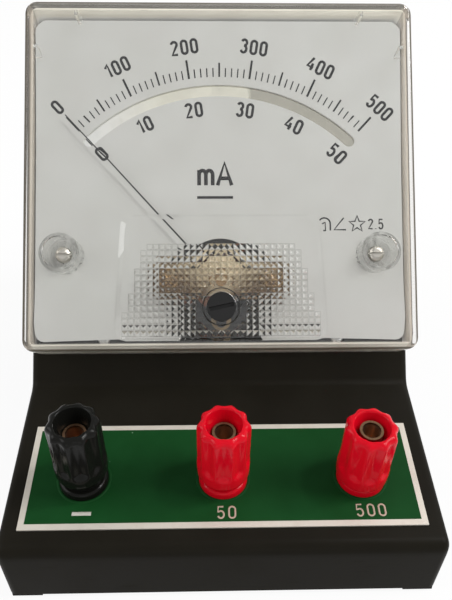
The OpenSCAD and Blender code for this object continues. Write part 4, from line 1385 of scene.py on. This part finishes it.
@dataclass(frozen=True)
class Lamp:
    """A square soft lamp that looks at the meter; lengths are in metres."""

    name: str
    place: Triple
    side: float
    watts: float
    aim: Triple = (0.0, 0.0, 0.04)

    def hang(self) -> None:
        """Adds the lamp."""
        data = bpy.data.lights.new(self.name, "AREA")
        data.shape = "SQUARE"
        data.size = self.side
        data.energy = self.watts
        lamp = link(self.name, data)
        lamp.location = self.place
        lamp.rotation_mode = "QUATERNION"
        lamp.rotation_quaternion = (Vector(self.aim) - Vector(self.place)).to_track_quat("-Z", "Y")


@dataclass
class Studio:
    """Pale floor, soft lamps, white surroundings and the camera."""

    eye: Vector = Vector((-0.0034, -0.1559, 0.15676))
    down: float = 36.64
    turn: float = 1.84
    roll: float = 0.78
    lens: float = 42.276
    shift: float = -0.0132
    near: float = 0.01
    far: float = 20.0
    ambient: float = 0.5
    floor_half: float = 3.0
    floor_grey: float = 0.86
    floor_glow: float = 0.93
    lamps: tuple[Lamp, ...] = (
        Lamp("key", (0.80, -0.10, 0.80), 0.5, 7.0), Lamp("fill", (-0.85, -0.15, 0.60), 0.6, 3.5),
        Lamp("front", (0.0, -1.10, 0.20), 0.5, 0.7), Lamp("glint", (0.42, -0.05, 0.85), 0.09, 1.6),
        Lamp("back", (0.45, 1.0, 0.35), 0.9, 4.0, (0.0, 0.0, 0.05)))

    def split(self, s: Shader, lit: Expr, seen: Expr, share: float) -> Expr:
        """Lets camera, glossy and transmitted rays see another shader than the one that gives light.

        Args:
            s: The shader that is built.
            lit: What gives light.
            seen: What is seen.
            share: The share of what is seen.

        Returns:
            The mixed shader.
        """
        looks = s.ray("Camera").either(s.ray("Glossy")).either(s.ray("Transmission"))
        return s.blend(looks * share, lit, seen)

    def world(self) -> None:
        """Even light all round, seen as white."""
        world = bpy.data.worlds.new("studio")
        bpy.context.scene.world = world
        s = Shader(world)
        dim = s.out("ShaderNodeBackground", None, {"Strength": self.ambient})
        white = s.out("ShaderNodeBackground", None, {"Strength": 1.0})
        s.close(self.split(s, dim, white, 1.0), "World")

    def floor(self) -> None:
        """A wide pale floor that keeps the meter's shadow."""
        mesh = bpy.data.meshes.new("floor")
        half = self.floor_half
        mesh.from_pydata([(-half, -half, 0), (half, -half, 0), (half, half, 0), (-half, half, 0)], [],
                         [(0, 1, 2, 3)])
        floor = link("floor", mesh)
        s = new_shader("studio_floor")
        matt = s.out("ShaderNodeBsdfDiffuse", None, {"Color": (self.floor_grey,) * 3})
        glow = s.out("ShaderNodeEmission", None, {"Color": (1.0, 1.0, 1.0)})
        mesh.materials.append(s.close(self.split(s, matt, glow, self.floor_glow)))

    def camera(self) -> None:
        """The camera, close above the front edge and looking down at the dial."""
        down, turn, roll = (math.radians(a) for a in (self.down, self.turn, self.roll))
        forward = Vector((math.sin(turn) * math.cos(down), math.cos(turn) * math.cos(down), -math.sin(down)))
        level = forward.cross(Vector((0, 0, 1))).normalized()
        rise = level.cross(forward)
        right = math.cos(roll) * level + math.sin(roll) * rise
        up = math.cos(roll) * rise - math.sin(roll) * level
        data = bpy.data.cameras.new("camera")
        data.lens = self.lens
        data.shift_y = self.shift
        data.clip_start = self.near
        data.clip_end = self.far
        camera = link("camera", data)
        axes = Matrix((right, up, -forward)).transposed().to_4x4()
        camera.matrix_world = Matrix.Translation(self.eye) @ axes
        bpy.context.scene.camera = camera

    def build(self) -> None:
        """Sets up the whole studio."""
        bpy.context.scene.view_settings.view_transform = "Standard"
        self.world()
        self.floor()
        self.camera()
        for lamp in self.lamps:
            lamp.hang()


def main() -> None:
    """Builds the looks in order."""
    logging.basicConfig(level=logging.INFO, format="%(name)s: %(message)s")
    printer = Printer(ribbon_tree())
    face, deck = face_plane(), deck_plane()
    Studio().build()
    Works().build()
    Console().build(printer, deck)
    Dial().build(printer, face)
    Cover().build(face)
    Posts().build(deck)


if __name__ == "__main__":
    main()
